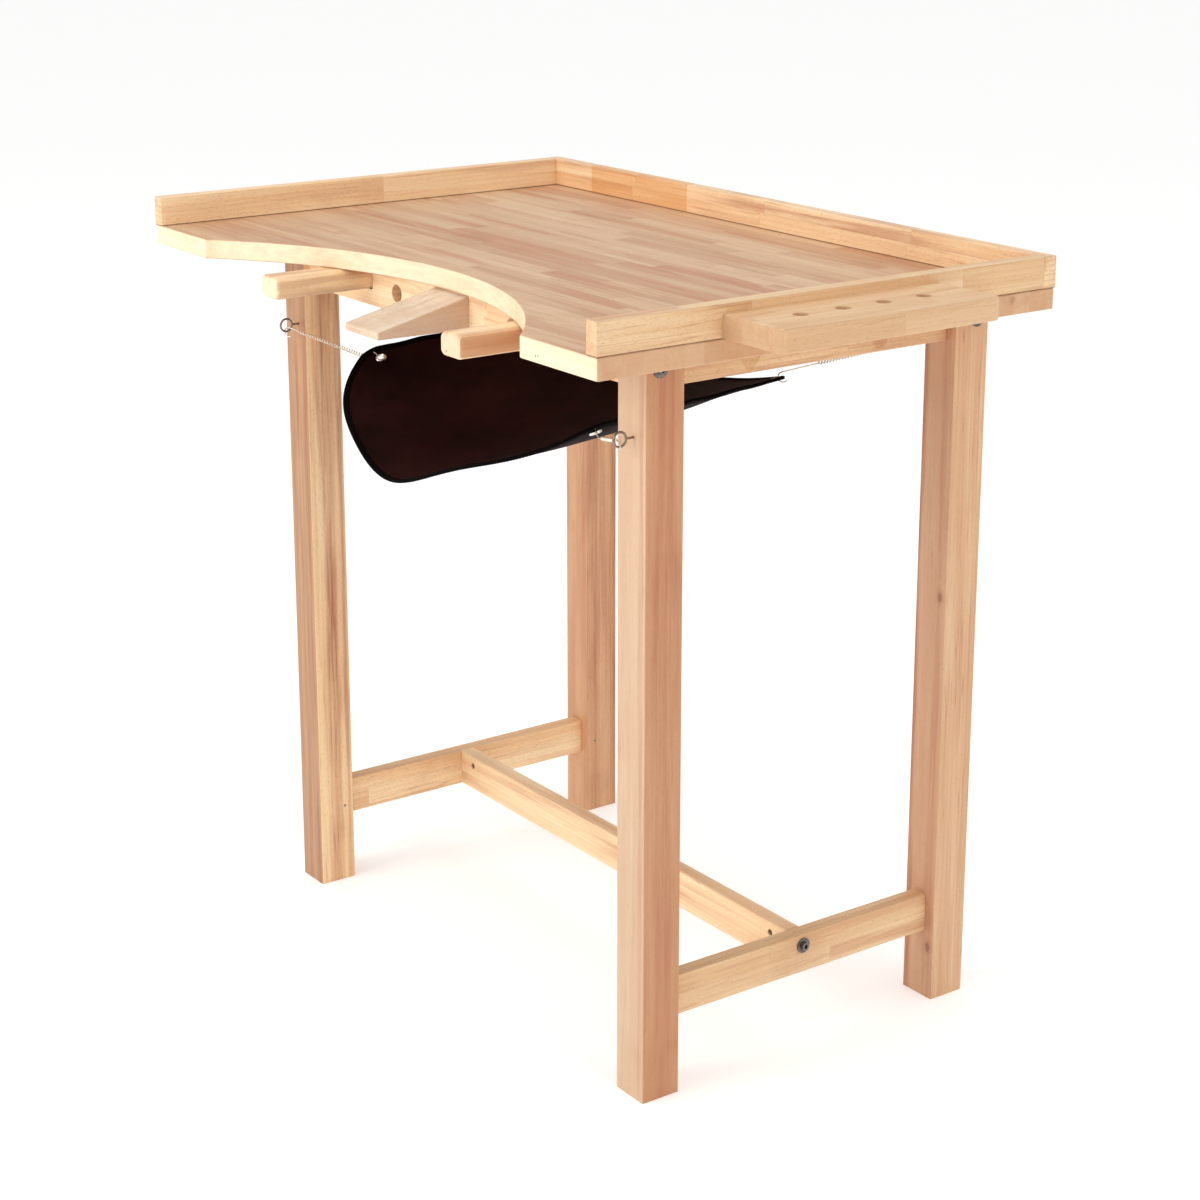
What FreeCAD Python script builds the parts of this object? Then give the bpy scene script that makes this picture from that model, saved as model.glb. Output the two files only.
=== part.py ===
"""Jewelers bench: a hardwood worktop with a bow-shaped bay, tray fences, a bolted leg frame, a bench
pin, two pull-out arm rests, a tool holder and a leather skin hung on four springs.

Millimetres, +Z up.  The origin is on the floor, in the middle of the whole bench's outline seen from
above.  +X is to the right of a jeweler who sits at the bench, and +Y points from them to the back.
"""
import FreeCAD, Part
import math
import os

import Sketcher

from FreeCAD import Placement, Rotation, Vector

# Driving dimensions.  Each is a size that can be changed by itself.
SIZES = {
    # worktop and its bay
    "board_width": 960,
    "board_depth": 620,
    "board_thickness": 24,
    "bay_width": 692,
    "bay_depth": 134,
    "board_round": 2,
    # fences that keep filings and stones on the worktop
    "fence_height": 36,
    "fence_thickness": 18,
    # leg frame
    "leg_length": 861,
    "leg_side": 50,
    "leg_inset_side": 95,
    "leg_inset_front": 130,
    "leg_inset_back": 6,
    "edge_round": 1.5,
    "rail_height": 48,
    "rail_thickness": 20,
    "rail_setback": 8,
    "stretcher_lift": 86,
    "tenon_thickness": 10,
    "tenon_height": 32,
    "tenon_length": 26,
    "tenon_clearance": 0.15,
    "tenon_pin_radius": 1.5,
    "tenon_pin_length": 24,
    # knock-down bolts with barrel nuts
    "bolt_radius": 3,
    "bolt_head_radius": 5,
    "bolt_head_height": 4,
    "bolt_socket": 5,
    "bolt_hole_clearance": 0.25,
    "bolt_grip": 36,
    "washer_radius": 9,
    "washer_thickness": 1.6,
    "nut_radius": 4,
    "nut_length": 15,
    "nut_from_end": 28,
    "nut_clearance": 0.1,
    "stretcher_bolt_lift": 34,
    # bench pin
    "pin_width": 72,
    "pin_reach": 121,
    "pin_root_height": 38,
    "pin_root_gap": 2,
    "pin_front_height": 9,
    "pin_front_lift": 1.5,
    "pin_tenon_width": 46,
    "pin_tenon_height": 20,
    "pin_tenon_length": 42,
    "pin_clearance": 0.25,
    # arm rests
    "arm_width": 40,
    "arm_height": 27,
    "arm_length": 290,
    "arm_reach": 130,
    "arm_offset": 200,
    "arm_round": 8,
    "arm_end_round": 5.5,
    "arm_clearance": 0.4,
    "peg_radius": 4,
    "peg_length": 30,
    "peg_drop": 9,
    # round holes through the front rail, for a mandrel
    "mandrel_radius": 11,
    "mandrel_offset": 123,
    # tool holder on the right fence
    "holder_width": 95,
    "holder_length": 292,
    "holder_thickness": 25,
    "holder_setback": 154,
    "holder_corner": 9,
    "holder_hole_radius": 8.5,
    "holder_hole_inset": 45,
    "holder_hole_pitch": 55,
    # skin, grommets, springs and screw eyes
    "skin_half_width": 241,
    "skin_front_setback": 164,
    "skin_bulge": 117,
    "skin_front_drop": 115,
    "skin_front_sag": 95,
    "skin_rear_setback": 443,
    "skin_rear_drop": 96,
    "skin_rear_sag": 34,
    "skin_belly": 16,
    "skin_thickness": 2.4,
    "grommet_radius": 8,
    "grommet_hole_radius": 4.5,
    "grommet_height": 4,
    "grommet_inset": 12,
    "grommet_gap": 0.3,
    "eye_drop": 98,
    "eye_inset_left": 18,
    "eye_inset_right": 28,
    "eye_radius": 8,
    "eye_wire_radius": 1.3,
    "eye_standoff": 17.5,
    "eye_shank_length": 18,
    "rear_eye_drop": 39,
    "rear_eye_inset": 7.5,
    "spring_coil_radius": 2.6,
    "spring_coil_length": 98,
    "spring_lead": 14,
    "spring_wire_radius": 0.5,
    "spring_hook_radius": 6,
    "hook_gap": 0.5,
    "hook_turn": 145,
    # screws
    "screw_radius": 2,
    "screw_head_radius": 4.2,
    "screw_head_height": 2.6,
    "screw_clearance": 0.1,
    "fence_screw_length": 44,
    "fence_screw_inset": 60,
    "holder_screw_length": 50,
    "pocket_radius": 20,
    "pocket_tilt": 20,
    "pocket_depth": 10,
    "pocket_lift": 3,
    "pocket_spacing": 184,
    "pocket_screw_length": 32,
    "pocket_screw_offset": 5,
}

doc = FreeCAD.newDocument("JewelersBench")
sheet = doc.addObject("Spreadsheet::Sheet", "Sizes")
for row, (alias, value) in enumerate(SIZES.items(), start=1):
    sheet.set(f"A{row}", alias)
    sheet.set(f"B{row}", str(value))
    sheet.setAlias(f"B{row}", alias)
probe = doc.addObject("Spreadsheet::Sheet", "Probe")
doc.recompute()

# Places that many pieces share, as expressions on the sheet.
MIDDLE = "(-Sizes.holder_width / 2)"
LEFT_EDGE = f"({MIDDLE} - Sizes.board_width / 2)"
RIGHT_EDGE = f"({MIDDLE} + Sizes.board_width / 2)"
FRONT_EDGE = "(-Sizes.board_depth / 2)"
BACK_EDGE = "(Sizes.board_depth / 2)"
UNDERSIDE = "Sizes.leg_length"
WORKTOP = "(Sizes.leg_length + Sizes.board_thickness)"
LEG_X = {
    "left": f"({LEFT_EDGE} + Sizes.leg_inset_side)",
    "right": f"({RIGHT_EDGE} - Sizes.leg_inset_side - Sizes.leg_side)",
}
LEG_Y = {
    "front": f"({FRONT_EDGE} + Sizes.leg_inset_front)",
    "back": f"({BACK_EDGE} - Sizes.leg_inset_back - Sizes.leg_side)",
}
BETWEEN_LEGS_X = f"({LEG_X['right']} - {LEG_X['left']} - Sizes.leg_side)"
BETWEEN_LEGS_Y = f"({LEG_Y['back']} - {LEG_Y['front']} - Sizes.leg_side)"
RAIL_IN_LEG = "((Sizes.leg_side - Sizes.rail_thickness) / 2)"
RAIL_LIFT = "(Sizes.leg_length - Sizes.rail_height)"
FRONT_RAIL_Y = f"({LEG_Y['front']} + Sizes.rail_setback)"
BACK_RAIL_Y = f"({LEG_Y['back']} + Sizes.leg_side - Sizes.rail_setback - Sizes.rail_thickness)"
MID_DEPTH = f"({LEG_Y['front']} + Sizes.leg_side + {BETWEEN_LEGS_Y} / 2)"
RAIL_BOLT_LIFT = "(Sizes.leg_length - Sizes.rail_height / 2)"
TENON_IN_RAIL_Z = "((Sizes.rail_height - Sizes.tenon_height) / 2)"
SIGN = {"left": "-1", "right": "1"}

TURN = {
    "+X": Rotation(Vector(0, 1, 0), 90),
    "-X": Rotation(Vector(0, 1, 0), -90),
    "+Y": Rotation(Vector(1, 0, 0), -90),
    "-Y": Rotation(Vector(1, 0, 0), 90),
    "+Z": Rotation(),
    "-Z": Rotation(Vector(1, 0, 0), 180),
}
AXIS_NUMBER = {"X": 0, "Y": 1, "Z": 2}


def number(expression):
    """Value of an expression on the sheet, worked out in the probe cell."""
    probe.set("A1", "=" + expression)
    probe.recompute()
    return float(probe.get("A1"))


def point(x, y, z):
    return Vector(number(x), number(y), number(z))


def bind(obj, path, expressions):
    """Binds the x, y and z of a vector property to three expressions."""
    for letter, expression in zip("xyz", expressions):
        obj.setExpression(f"{path}.{letter}", expression)


def new_body(name, corner):
    """A body named as its node, with its own corner at the given place."""
    body = doc.addObject("PartDesign::Body", name)
    body.Label = name
    bind(body, "Placement.Base", corner)
    return body


def new_sketch(body, role, lift="0"):
    """A sketch on one of the body's own origin planes, lifted along the plane's normal."""
    sketch = body.newObject("Sketcher::SketchObject", body.Name + "_sketch")
    plane = [feature for feature in body.Origin.OriginFeatures if feature.Role == role][0]
    sketch.AttachmentSupport = [(plane, "")]
    sketch.MapMode = "FlatFace"
    sketch.setExpression("AttachmentOffset.Base.z", lift)
    return sketch


def fix_point(sketch, geometry, end, x, y):
    """Ties a point of the sketch to its two distances from the origin."""
    for kind, expression, axis in (("DistanceX", x, -2), ("DistanceY", y, -1)):
        if expression == "0":
            sketch.addConstraint(Sketcher.Constraint("PointOnObject", geometry, end, axis))
            continue
        value = number(expression)
        index = sketch.addConstraint(Sketcher.Constraint(kind, -1, 1, geometry, end, value))
        sketch.setExpression(f"Constraints[{index}]", expression)


def outline(sketch, corners):
    """A closed polygon through the corners, each given as two expressions."""
    points = [Vector(number(x), number(y), 0) for x, y in corners]
    count = len(points)
    for index in range(count):
        sketch.addGeometry(Part.LineSegment(points[index], points[(index + 1) % count]))
    for index in range(count):
        following = (index + 1) % count
        sketch.addConstraint(Sketcher.Constraint("Coincident", index, 2, following, 1))
        fix_point(sketch, index, 1, *corners[index])


def rectangle(sketch, width, height):
    outline(sketch, [("0", "0"), (width, "0"), (width, height), ("0", height)])


def pad(body, sketch, length, midplane=False):
    feature = body.newObject("PartDesign::Pad", body.Name + "_pad")
    feature.Profile = sketch
    feature.Midplane = midplane
    feature.setExpression("Length", length)
    doc.recompute()
    return feature


def runs_along(edge, axis):
    """True for a straight edge that is parallel to the axis."""
    if not isinstance(edge.Curve, Part.Line):
        return False
    direction = edge.Curve.Direction
    return abs(direction[AXIS_NUMBER[axis]]) > 0.999


def round_edges(body, feature, radius, test):
    """Fillets the edges of the feature that pass the test."""
    names = [f"Edge{index}" for index, edge in enumerate(feature.Shape.Edges, start=1) if test(edge)]
    fillet = body.newObject("PartDesign::Fillet", body.Name + "_fillet")
    fillet.Base = (feature, names)
    fillet.setExpression("Radius", radius)
    doc.recompute()
    return fillet


def cut_with(body, kind, sizes, corner, turn=Rotation()):
    """Takes a box or a cylinder away from the body and checks that it did cut."""
    before = body.Shape.Volume
    tool = body.newObject(f"PartDesign::Subtractive{kind}", f"{body.Name}_cut")
    tool.Placement = Placement(Vector(), turn)
    for name, expression in sizes.items():
        tool.setExpression(name, expression)
    bind(tool, "Placement.Base", corner)
    doc.recompute()
    if body.Shape.Volume > before - 0.1:
        raise RuntimeError(f"{tool.Name} cuts nothing from {body.Label}")
    return tool


def chop(body, corner, size):
    """A rectangular mortise, notch or recess."""
    return cut_with(body, "Box", dict(zip(("Length", "Width", "Height"), size)), corner)


def drill(body, start, direction, radius, depth):
    """A round hole from the start point along one of the six directions."""
    return cut_with(body, "Cylinder", {"Radius": radius, "Height": depth}, start, TURN[direction])


def slab(name, corner, size, grain):
    """A planed length of timber, its long edges eased along the grain."""
    body = new_body(name, corner)
    sketch = new_sketch(body, "XY_Plane")
    rectangle(sketch, size[0], size[1])
    feature = pad(body, sketch, size[2])
    round_edges(body, feature, "Sizes.edge_round", lambda edge: runs_along(edge, grain))
    return body


# ---------------------------------------------------------------- worktop and fences

BAY_LAND = "((Sizes.board_width - Sizes.bay_width) / 2)"
BAY_RADIUS = "(((Sizes.bay_width / 2) ^ 2 + Sizes.bay_depth ^ 2) / (2 * Sizes.bay_depth))"
FENCE_SCREW_HOLE = "(Sizes.screw_radius + Sizes.screw_clearance)"
POCKET_Y = {
    "front": f"({MID_DEPTH} - Sizes.pocket_spacing / 2)",
    "back": f"({MID_DEPTH} + Sizes.pocket_spacing / 2)",
}


def fence_screw_places():
    """Where the screws come up through the worktop: three under each fence."""
    middle = "(Sizes.fence_thickness / 2)"
    places = []
    for x in (f"({LEFT_EDGE} + {middle})", f"({RIGHT_EDGE} - {middle})"):
        for y in (
            f"({FRONT_EDGE} + Sizes.fence_screw_inset)",
            "0",
            f"({BACK_EDGE} - Sizes.fence_thickness - Sizes.fence_screw_inset)",
        ):
            places.append((x, y))
    for x in (
        f"({LEFT_EDGE} + 2 * Sizes.fence_screw_inset)",
        MIDDLE,
        f"({RIGHT_EDGE} - 2 * Sizes.fence_screw_inset)",
    ):
        places.append((x, f"({BACK_EDGE} - {middle})"))
    return places


def make_bench_top():
    body = new_body("bench_top", (LEFT_EDGE, FRONT_EDGE, UNDERSIDE))
    sketch = new_sketch(body, "XY_Plane")
    width = "Sizes.board_width"
    depth = "Sizes.board_depth"
    right_land = f"({width} - {BAY_LAND})"
    corners = [(BAY_LAND, "0"), ("0", "0"), ("0", depth), (width, depth), (width, "0"), (right_land, "0")]
    points = [Vector(number(x), number(y), 0) for x, y in corners]
    for start, end in zip(points, points[1:]):
        sketch.addGeometry(Part.LineSegment(start, end))
    deepest = Vector(number(width) / 2, number("Sizes.bay_depth"), 0)
    arc = sketch.addGeometry(Part.Arc(points[0], deepest, points[-1]))
    for index in range(len(corners) - 2):
        sketch.addConstraint(Sketcher.Constraint("Coincident", index, 2, index + 1, 1))
    for index in range(len(corners) - 1):
        fix_point(sketch, index, 1, *corners[index])
    last_line = len(corners) - 2
    fix_point(sketch, last_line, 2, *corners[-1])
    arc_ends = {True: (1, 2), False: (2, 1)}[sketch.getPoint(arc, 1).x < deepest.x]
    sketch.addConstraint(Sketcher.Constraint("Coincident", arc, arc_ends[0], 0, 1))
    sketch.addConstraint(Sketcher.Constraint("Coincident", arc, arc_ends[1], last_line, 2))
    radius = sketch.addConstraint(Sketcher.Constraint("Radius", arc, number(BAY_RADIUS)))
    sketch.setExpression(f"Constraints[{radius}]", BAY_RADIUS)
    board = pad(body, sketch, "Sizes.board_thickness")
    corner_rounds = round_edges(body, board, "2 * Sizes.board_round", lambda edge: runs_along(edge, "Z"))
    top = number("Sizes.board_thickness")

    def on_a_face(edge):
        heights = [vertex.Z for vertex in edge.Vertexes]
        return max(heights) - min(heights) < 0.01 and (abs(heights[0]) < 0.01 or abs(heights[0] - top) < 0.01)

    round_edges(body, corner_rounds, "Sizes.board_round", on_a_face)
    for x, y in fence_screw_places():
        place = (f"{x} - {LEFT_EDGE}", f"{y} - {FRONT_EDGE}", "0")
        drill(body, place, "+Z", FENCE_SCREW_HOLE, "Sizes.board_thickness")
        seat = "(Sizes.screw_head_radius + Sizes.screw_clearance)"
        drill(body, place, "+Z", seat, "(Sizes.screw_head_height + Sizes.screw_clearance)")
    for side in LEG_X:
        for row in LEG_Y:
            drill_pocket_screw(body, side, row, (LEFT_EDGE, FRONT_EDGE, UNDERSIDE))
    return body


def make_fence(name, corner, size, grain):
    body = slab(name, corner, size, grain)
    low = [number(value) for value in corner]
    high = [start + number(length) for start, length in zip(low, size)]
    depth = "(Sizes.fence_screw_length - Sizes.board_thickness + Sizes.screw_clearance)"
    for x, y in fence_screw_places():
        if low[0] < number(x) < high[0] and low[1] < number(y) < high[1]:
            place = (f"{x} - {corner[0]}", f"{y} - {corner[1]}", "0")
            drill(body, place, "+Z", FENCE_SCREW_HOLE, depth)
    return body


def make_fences():
    side = ("Sizes.fence_thickness", "(Sizes.board_depth - Sizes.fence_thickness)", "Sizes.fence_height")
    back = ("Sizes.board_width", "Sizes.fence_thickness", "Sizes.fence_height")
    right_edge = f"({RIGHT_EDGE} - Sizes.fence_thickness)"
    back_edge = f"({BACK_EDGE} - Sizes.fence_thickness)"
    make_fence("fence_left", (LEFT_EDGE, FRONT_EDGE, WORKTOP), side, "Y")
    right = make_fence("fence_right", (right_edge, FRONT_EDGE, WORKTOP), side, "Y")
    make_fence("fence_back", (LEFT_EDGE, back_edge, WORKTOP), back, "X")
    for y in holder_screw_places():
        place = ("0", f"{y} - {FRONT_EDGE}", "Sizes.holder_thickness / 2")
        drill(right, place, "+X", FENCE_SCREW_HOLE, "Sizes.fence_thickness")
        seat = "(Sizes.screw_head_radius + Sizes.screw_clearance)"
        drill(right, place, "+X", seat, "(Sizes.screw_head_height + Sizes.screw_clearance)")


# ---------------------------------------------------------------- leg frame

PIN_HOLE = "(Sizes.tenon_pin_radius + Sizes.screw_clearance)"
BOLT_HOLE = "(Sizes.bolt_radius + Sizes.bolt_hole_clearance)"
NUT_HOLE = "(Sizes.nut_radius + Sizes.nut_clearance)"
EYE_HOLE = "(Sizes.eye_wire_radius + Sizes.screw_clearance)"
EYE_INSET = {
    ("left", "front"): "Sizes.eye_inset_left",
    ("right", "front"): "Sizes.eye_inset_right",
    ("left", "back"): "Sizes.rear_eye_inset",
    ("right", "back"): "Sizes.rear_eye_inset",
}
EYE_DROP = {"front": "Sizes.eye_drop", "back": "Sizes.rear_eye_drop"}
TENON_LIFTS = {
    "stretcher": f"(Sizes.stretcher_lift + {TENON_IN_RAIL_Z})",
    "rail": f"({RAIL_LIFT} + {TENON_IN_RAIL_Z})",
}
RAIL_MID_Y = {
    "front": "(Sizes.rail_setback + Sizes.rail_thickness / 2)",
    "back": "(Sizes.leg_side - Sizes.rail_setback - Sizes.rail_thickness / 2)",
}


def make_leg(side, row):
    corner = (LEG_X[side], LEG_Y[row], "0")
    size = ("Sizes.leg_side", "Sizes.leg_side", "Sizes.leg_length")
    body = slab(f"leg_{row}_{side}", corner, size, "Z")
    mortise_depth = "(Sizes.tenon_length + 4 * Sizes.tenon_clearance)"
    mortise_width = "(Sizes.tenon_thickness + 2 * Sizes.tenon_clearance)"
    mortise_height = "(Sizes.tenon_height + 2 * Sizes.tenon_clearance)"
    from_face = {"front": f"(Sizes.leg_side - {mortise_depth})", "back": "0"}[row]
    pin_x = {"left": "Sizes.leg_side", "right": "0"}[side]
    pin_y = {"front": "(Sizes.leg_side - Sizes.tenon_length / 2)", "back": "(Sizes.tenon_length / 2)"}[row]
    inward = {"left": "-X", "right": "+X"}[side]
    for lift in TENON_LIFTS.values():
        place = (f"(Sizes.leg_side - {mortise_width}) / 2", from_face, f"{lift} - Sizes.tenon_clearance")
        chop(body, place, (mortise_width, mortise_depth, mortise_height))
        pin_place = (pin_x, pin_y, f"{lift} + Sizes.tenon_height / 3")
        drill(body, pin_place, inward, PIN_HOLE, "(Sizes.tenon_pin_length + 4 * Sizes.tenon_clearance)")
    drill(body, ("0", RAIL_MID_Y[row], RAIL_BOLT_LIFT), "+X", BOLT_HOLE, "Sizes.leg_side")
    inset = EYE_INSET[side, row]
    eye_x = {"left": f"(Sizes.leg_side - {inset})", "right": inset}[side]
    depth = "(Sizes.eye_shank_length + 4 * Sizes.screw_clearance)"
    drill(body, (eye_x, "0", f"(Sizes.leg_length - {EYE_DROP[row]})"), "+Y", EYE_HOLE, depth)
    return body


def make_side_member(name, side, lift):
    """A stretcher or rail between a front and a back leg, with a tenon at each end."""
    corner = (f"({LEG_X[side]} + {RAIL_IN_LEG})", f"({LEG_Y['front']} + Sizes.leg_side)", lift)
    body = slab(name, corner, ("Sizes.rail_thickness", BETWEEN_LEGS_Y, "Sizes.rail_height"), "Y")
    tenon = body.newObject("PartDesign::AdditiveBox", name + "_tenons")
    tenon.setExpression("Length", "Sizes.tenon_thickness")
    tenon.setExpression("Width", f"{BETWEEN_LEGS_Y} + 2 * Sizes.tenon_length")
    tenon.setExpression("Height", "Sizes.tenon_height")
    in_from_side = "(Sizes.rail_thickness - Sizes.tenon_thickness) / 2"
    bind(tenon, "Placement.Base", (in_from_side, "-Sizes.tenon_length", TENON_IN_RAIL_Z))
    doc.recompute()
    far = f"({BETWEEN_LEGS_Y} + Sizes.tenon_length / 2)"
    start_x = {"left": "Sizes.rail_thickness", "right": "0"}[side]
    inward = {"left": "-X", "right": "+X"}[side]
    for y in ("(-Sizes.tenon_length / 2)", far):
        place = (start_x, y, f"{TENON_IN_RAIL_Z} + Sizes.tenon_height / 3")
        drill(body, place, inward, PIN_HOLE, "Sizes.rail_thickness")
    return body


def make_stretchers():
    mid_span = f"({BETWEEN_LEGS_Y} / 2)"
    for side in LEG_X:
        body = make_side_member(f"stretcher_{side}", side, "Sizes.stretcher_lift")
        place = ("0", mid_span, "Sizes.stretcher_bolt_lift")
        drill(body, place, "+X", BOLT_HOLE, "Sizes.rail_thickness")
    length = f"({BETWEEN_LEGS_X} + 2 * {RAIL_IN_LEG})"
    corner = (
        f"({LEG_X['left']} + Sizes.leg_side - {RAIL_IN_LEG})",
        f"({MID_DEPTH} - Sizes.rail_thickness / 2)",
        "Sizes.stretcher_lift",
    )
    body = slab("stretcher_long", corner, (length, "Sizes.rail_thickness", "Sizes.rail_height"), "X")
    drill_bolted_ends(body, length, "Sizes.stretcher_bolt_lift", "0", "+Y")


def drill_bolted_ends(body, length, lift, nut_face, nut_way):
    """The bolt holes in both ends of a crosswise member, and the holes for their barrel nuts."""
    middle = "Sizes.rail_thickness / 2"
    depth = "(Sizes.bolt_grip + Sizes.bolt_hole_clearance)"
    drill(body, ("0", middle, lift), "+X", BOLT_HOLE, depth)
    drill(body, (length, middle, lift), "-X", BOLT_HOLE, depth)
    nut_depth = "(Sizes.rail_thickness / 2 + Sizes.nut_length / 2 + Sizes.nut_clearance)"
    for x in ("Sizes.nut_from_end", f"({length} - Sizes.nut_from_end)"):
        drill(body, (x, nut_face, lift), nut_way, NUT_HOLE, nut_depth)


def pocket_geometry(side, row):
    """Apex of a screw pocket on the rail's outer face, and the way that the pocket rises."""
    outward = int(SIGN[side])
    outer_face = {"left": f"{LEG_X['left']} + {RAIL_IN_LEG}",
                  "right": f"{LEG_X['right']} + {RAIL_IN_LEG} + Sizes.rail_thickness"}[side]
    apex = (outer_face, POCKET_Y[row], f"({RAIL_LIFT} + Sizes.pocket_lift)")
    return apex, Rotation(Vector(0, 1, 0), -outward * number("Sizes.pocket_tilt")), outward


def along_pocket(side, row, rise, offset):
    """Expressions of the point a distance up the pocket's back wall and another out from it."""
    apex, _, outward = pocket_geometry(side, row)
    tilt = "Sizes.pocket_tilt * 1 deg"
    x = f"({apex[0]} + ({outward}) * (({offset}) * cos({tilt}) - ({rise}) * sin({tilt})))"
    z = f"({apex[2]} + ({offset}) * sin({tilt}) + ({rise}) * cos({tilt}))"
    return x, apex[1], z


POCKET_RISE = "(Sizes.pocket_depth / sin(Sizes.pocket_tilt * 1 deg))"


def cut_tilted(body, side, row, rise, offset, radius, length, frame):
    """A round cut along a pocket's rise, placed in the frame of the body that it cuts."""
    _, turn, _ = pocket_geometry(side, row)
    place = along_pocket(side, row, rise, offset)
    local = [f"{value} - {base}" for value, base in zip(place, frame)]
    return cut_with(body, "Cylinder", {"Radius": radius, "Height": length}, local, turn)


def drill_pocket_screw(body, side, row, frame):
    length = "(Sizes.pocket_screw_length + Sizes.screw_clearance)"
    cut_tilted(body, side, row, POCKET_RISE, "Sizes.pocket_screw_offset", FENCE_SCREW_HOLE, length, frame)


def make_side_rails():
    for side in LEG_X:
        body = make_side_member(f"side_rail_{side}", side, RAIL_LIFT)
        frame = (f"({LEG_X[side]} + {RAIL_IN_LEG})", f"({LEG_Y['front']} + Sizes.leg_side)", RAIL_LIFT)
        for row in LEG_Y:
            start = "(-Sizes.pocket_radius)"
            length = f"(Sizes.pocket_radius + {POCKET_RISE})"
            cut_tilted(body, side, row, start, "Sizes.pocket_radius", "Sizes.pocket_radius", length, frame)
            drill_pocket_screw(body, side, row, frame)


def make_front_rail():
    corner = (f"({LEG_X['left']} + Sizes.leg_side)", FRONT_RAIL_Y, RAIL_LIFT)
    body = slab("front_rail", corner, (BETWEEN_LEGS_X, "Sizes.rail_thickness", "Sizes.rail_height"), "X")
    mid_span = f"({BETWEEN_LEGS_X} / 2)"
    lift = "(Sizes.rail_height / 2)"
    drill_bolted_ends(body, BETWEEN_LEGS_X, lift, "Sizes.rail_thickness", "-Y")
    notch_width = "(Sizes.arm_width + 2 * Sizes.arm_clearance)"
    notch_height = "(Sizes.arm_height + 2 * Sizes.arm_clearance)"
    for side in LEG_X:
        centre = f"({mid_span} + {SIGN[side]} * Sizes.arm_offset)"
        place = (f"{centre} - {notch_width} / 2", "0", f"Sizes.rail_height - {notch_height}")
        chop(body, place, (notch_width, "Sizes.rail_thickness", notch_height))
        hole = f"({mid_span} + {SIGN[side]} * Sizes.mandrel_offset)"
        drill(body, (hole, "0", lift), "+Y", "Sizes.mandrel_radius", "Sizes.rail_thickness")
    width = "(Sizes.pin_tenon_width + 2 * Sizes.pin_clearance)"
    height = "(Sizes.pin_tenon_height + 2 * Sizes.pin_clearance)"
    place = (f"{mid_span} - {width} / 2", "0", f"{PIN_TENON_LIFT} - {RAIL_LIFT} - Sizes.pin_clearance")
    chop(body, place, (width, "Sizes.rail_thickness", height))
    return body


def make_back_rail():
    corner = (f"({LEG_X['left']} + Sizes.leg_side)", BACK_RAIL_Y, RAIL_LIFT)
    body = slab("back_rail", corner, (BETWEEN_LEGS_X, "Sizes.rail_thickness", "Sizes.rail_height"), "X")
    drill_bolted_ends(body, BETWEEN_LEGS_X, "(Sizes.rail_height / 2)", "0", "+Y")
    return body


# ---------------------------------------------------------------- bench pin, arm rests, tool holder

PIN_TOP = "(Sizes.leg_length - Sizes.pin_root_gap)"
PIN_FOOT = f"({PIN_TOP} - Sizes.pin_root_height)"
PIN_TENON_LIFT = f"({PIN_FOOT} + (Sizes.pin_root_height - Sizes.pin_tenon_height) / 2)"


def make_bench_pin():
    """A wedge whose top slopes down to the jeweler, with a tenon that plugs into the front rail."""
    corner = (f"({MIDDLE} - Sizes.pin_width / 2)", FRONT_RAIL_Y, PIN_FOOT)
    body = new_body("bench_pin", corner)
    sketch = new_sketch(body, "YZ_Plane")
    reach = "(-Sizes.pin_reach)"
    nose_top = "(Sizes.pin_front_lift + Sizes.pin_front_height)"
    outline(sketch, [
        ("0", "0"),
        ("0", "Sizes.pin_root_height"),
        (reach, nose_top),
        (reach, "Sizes.pin_front_lift"),
    ])
    wedge = pad(body, sketch, "Sizes.pin_width")
    round_edges(body, wedge, "Sizes.edge_round",
                lambda edge: edge.BoundBox.YMax < -0.01 or edge.BoundBox.YLength > 1)
    tenon = body.newObject("PartDesign::AdditiveBox", "bench_pin_tenon")
    tenon.setExpression("Length", "Sizes.pin_tenon_width")
    tenon.setExpression("Width", "Sizes.pin_tenon_length")
    tenon.setExpression("Height", "Sizes.pin_tenon_height")
    in_from_side = "(Sizes.pin_width - Sizes.pin_tenon_width) / 2"
    bind(tenon, "Placement.Base", (in_from_side, "0", f"{PIN_TENON_LIFT} - {PIN_FOOT}"))
    doc.recompute()
    return body


ARM_LIFT = "(Sizes.leg_length - Sizes.arm_clearance - Sizes.arm_height)"
ARM_FRONT = f"({FRONT_RAIL_Y} - Sizes.arm_reach)"
PEG_Y = f"({FRONT_RAIL_Y} + Sizes.rail_thickness + Sizes.arm_clearance + Sizes.peg_radius)"


def arm_centre(side):
    return f"({MIDDLE} + {SIGN[side]} * Sizes.arm_offset)"


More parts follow.
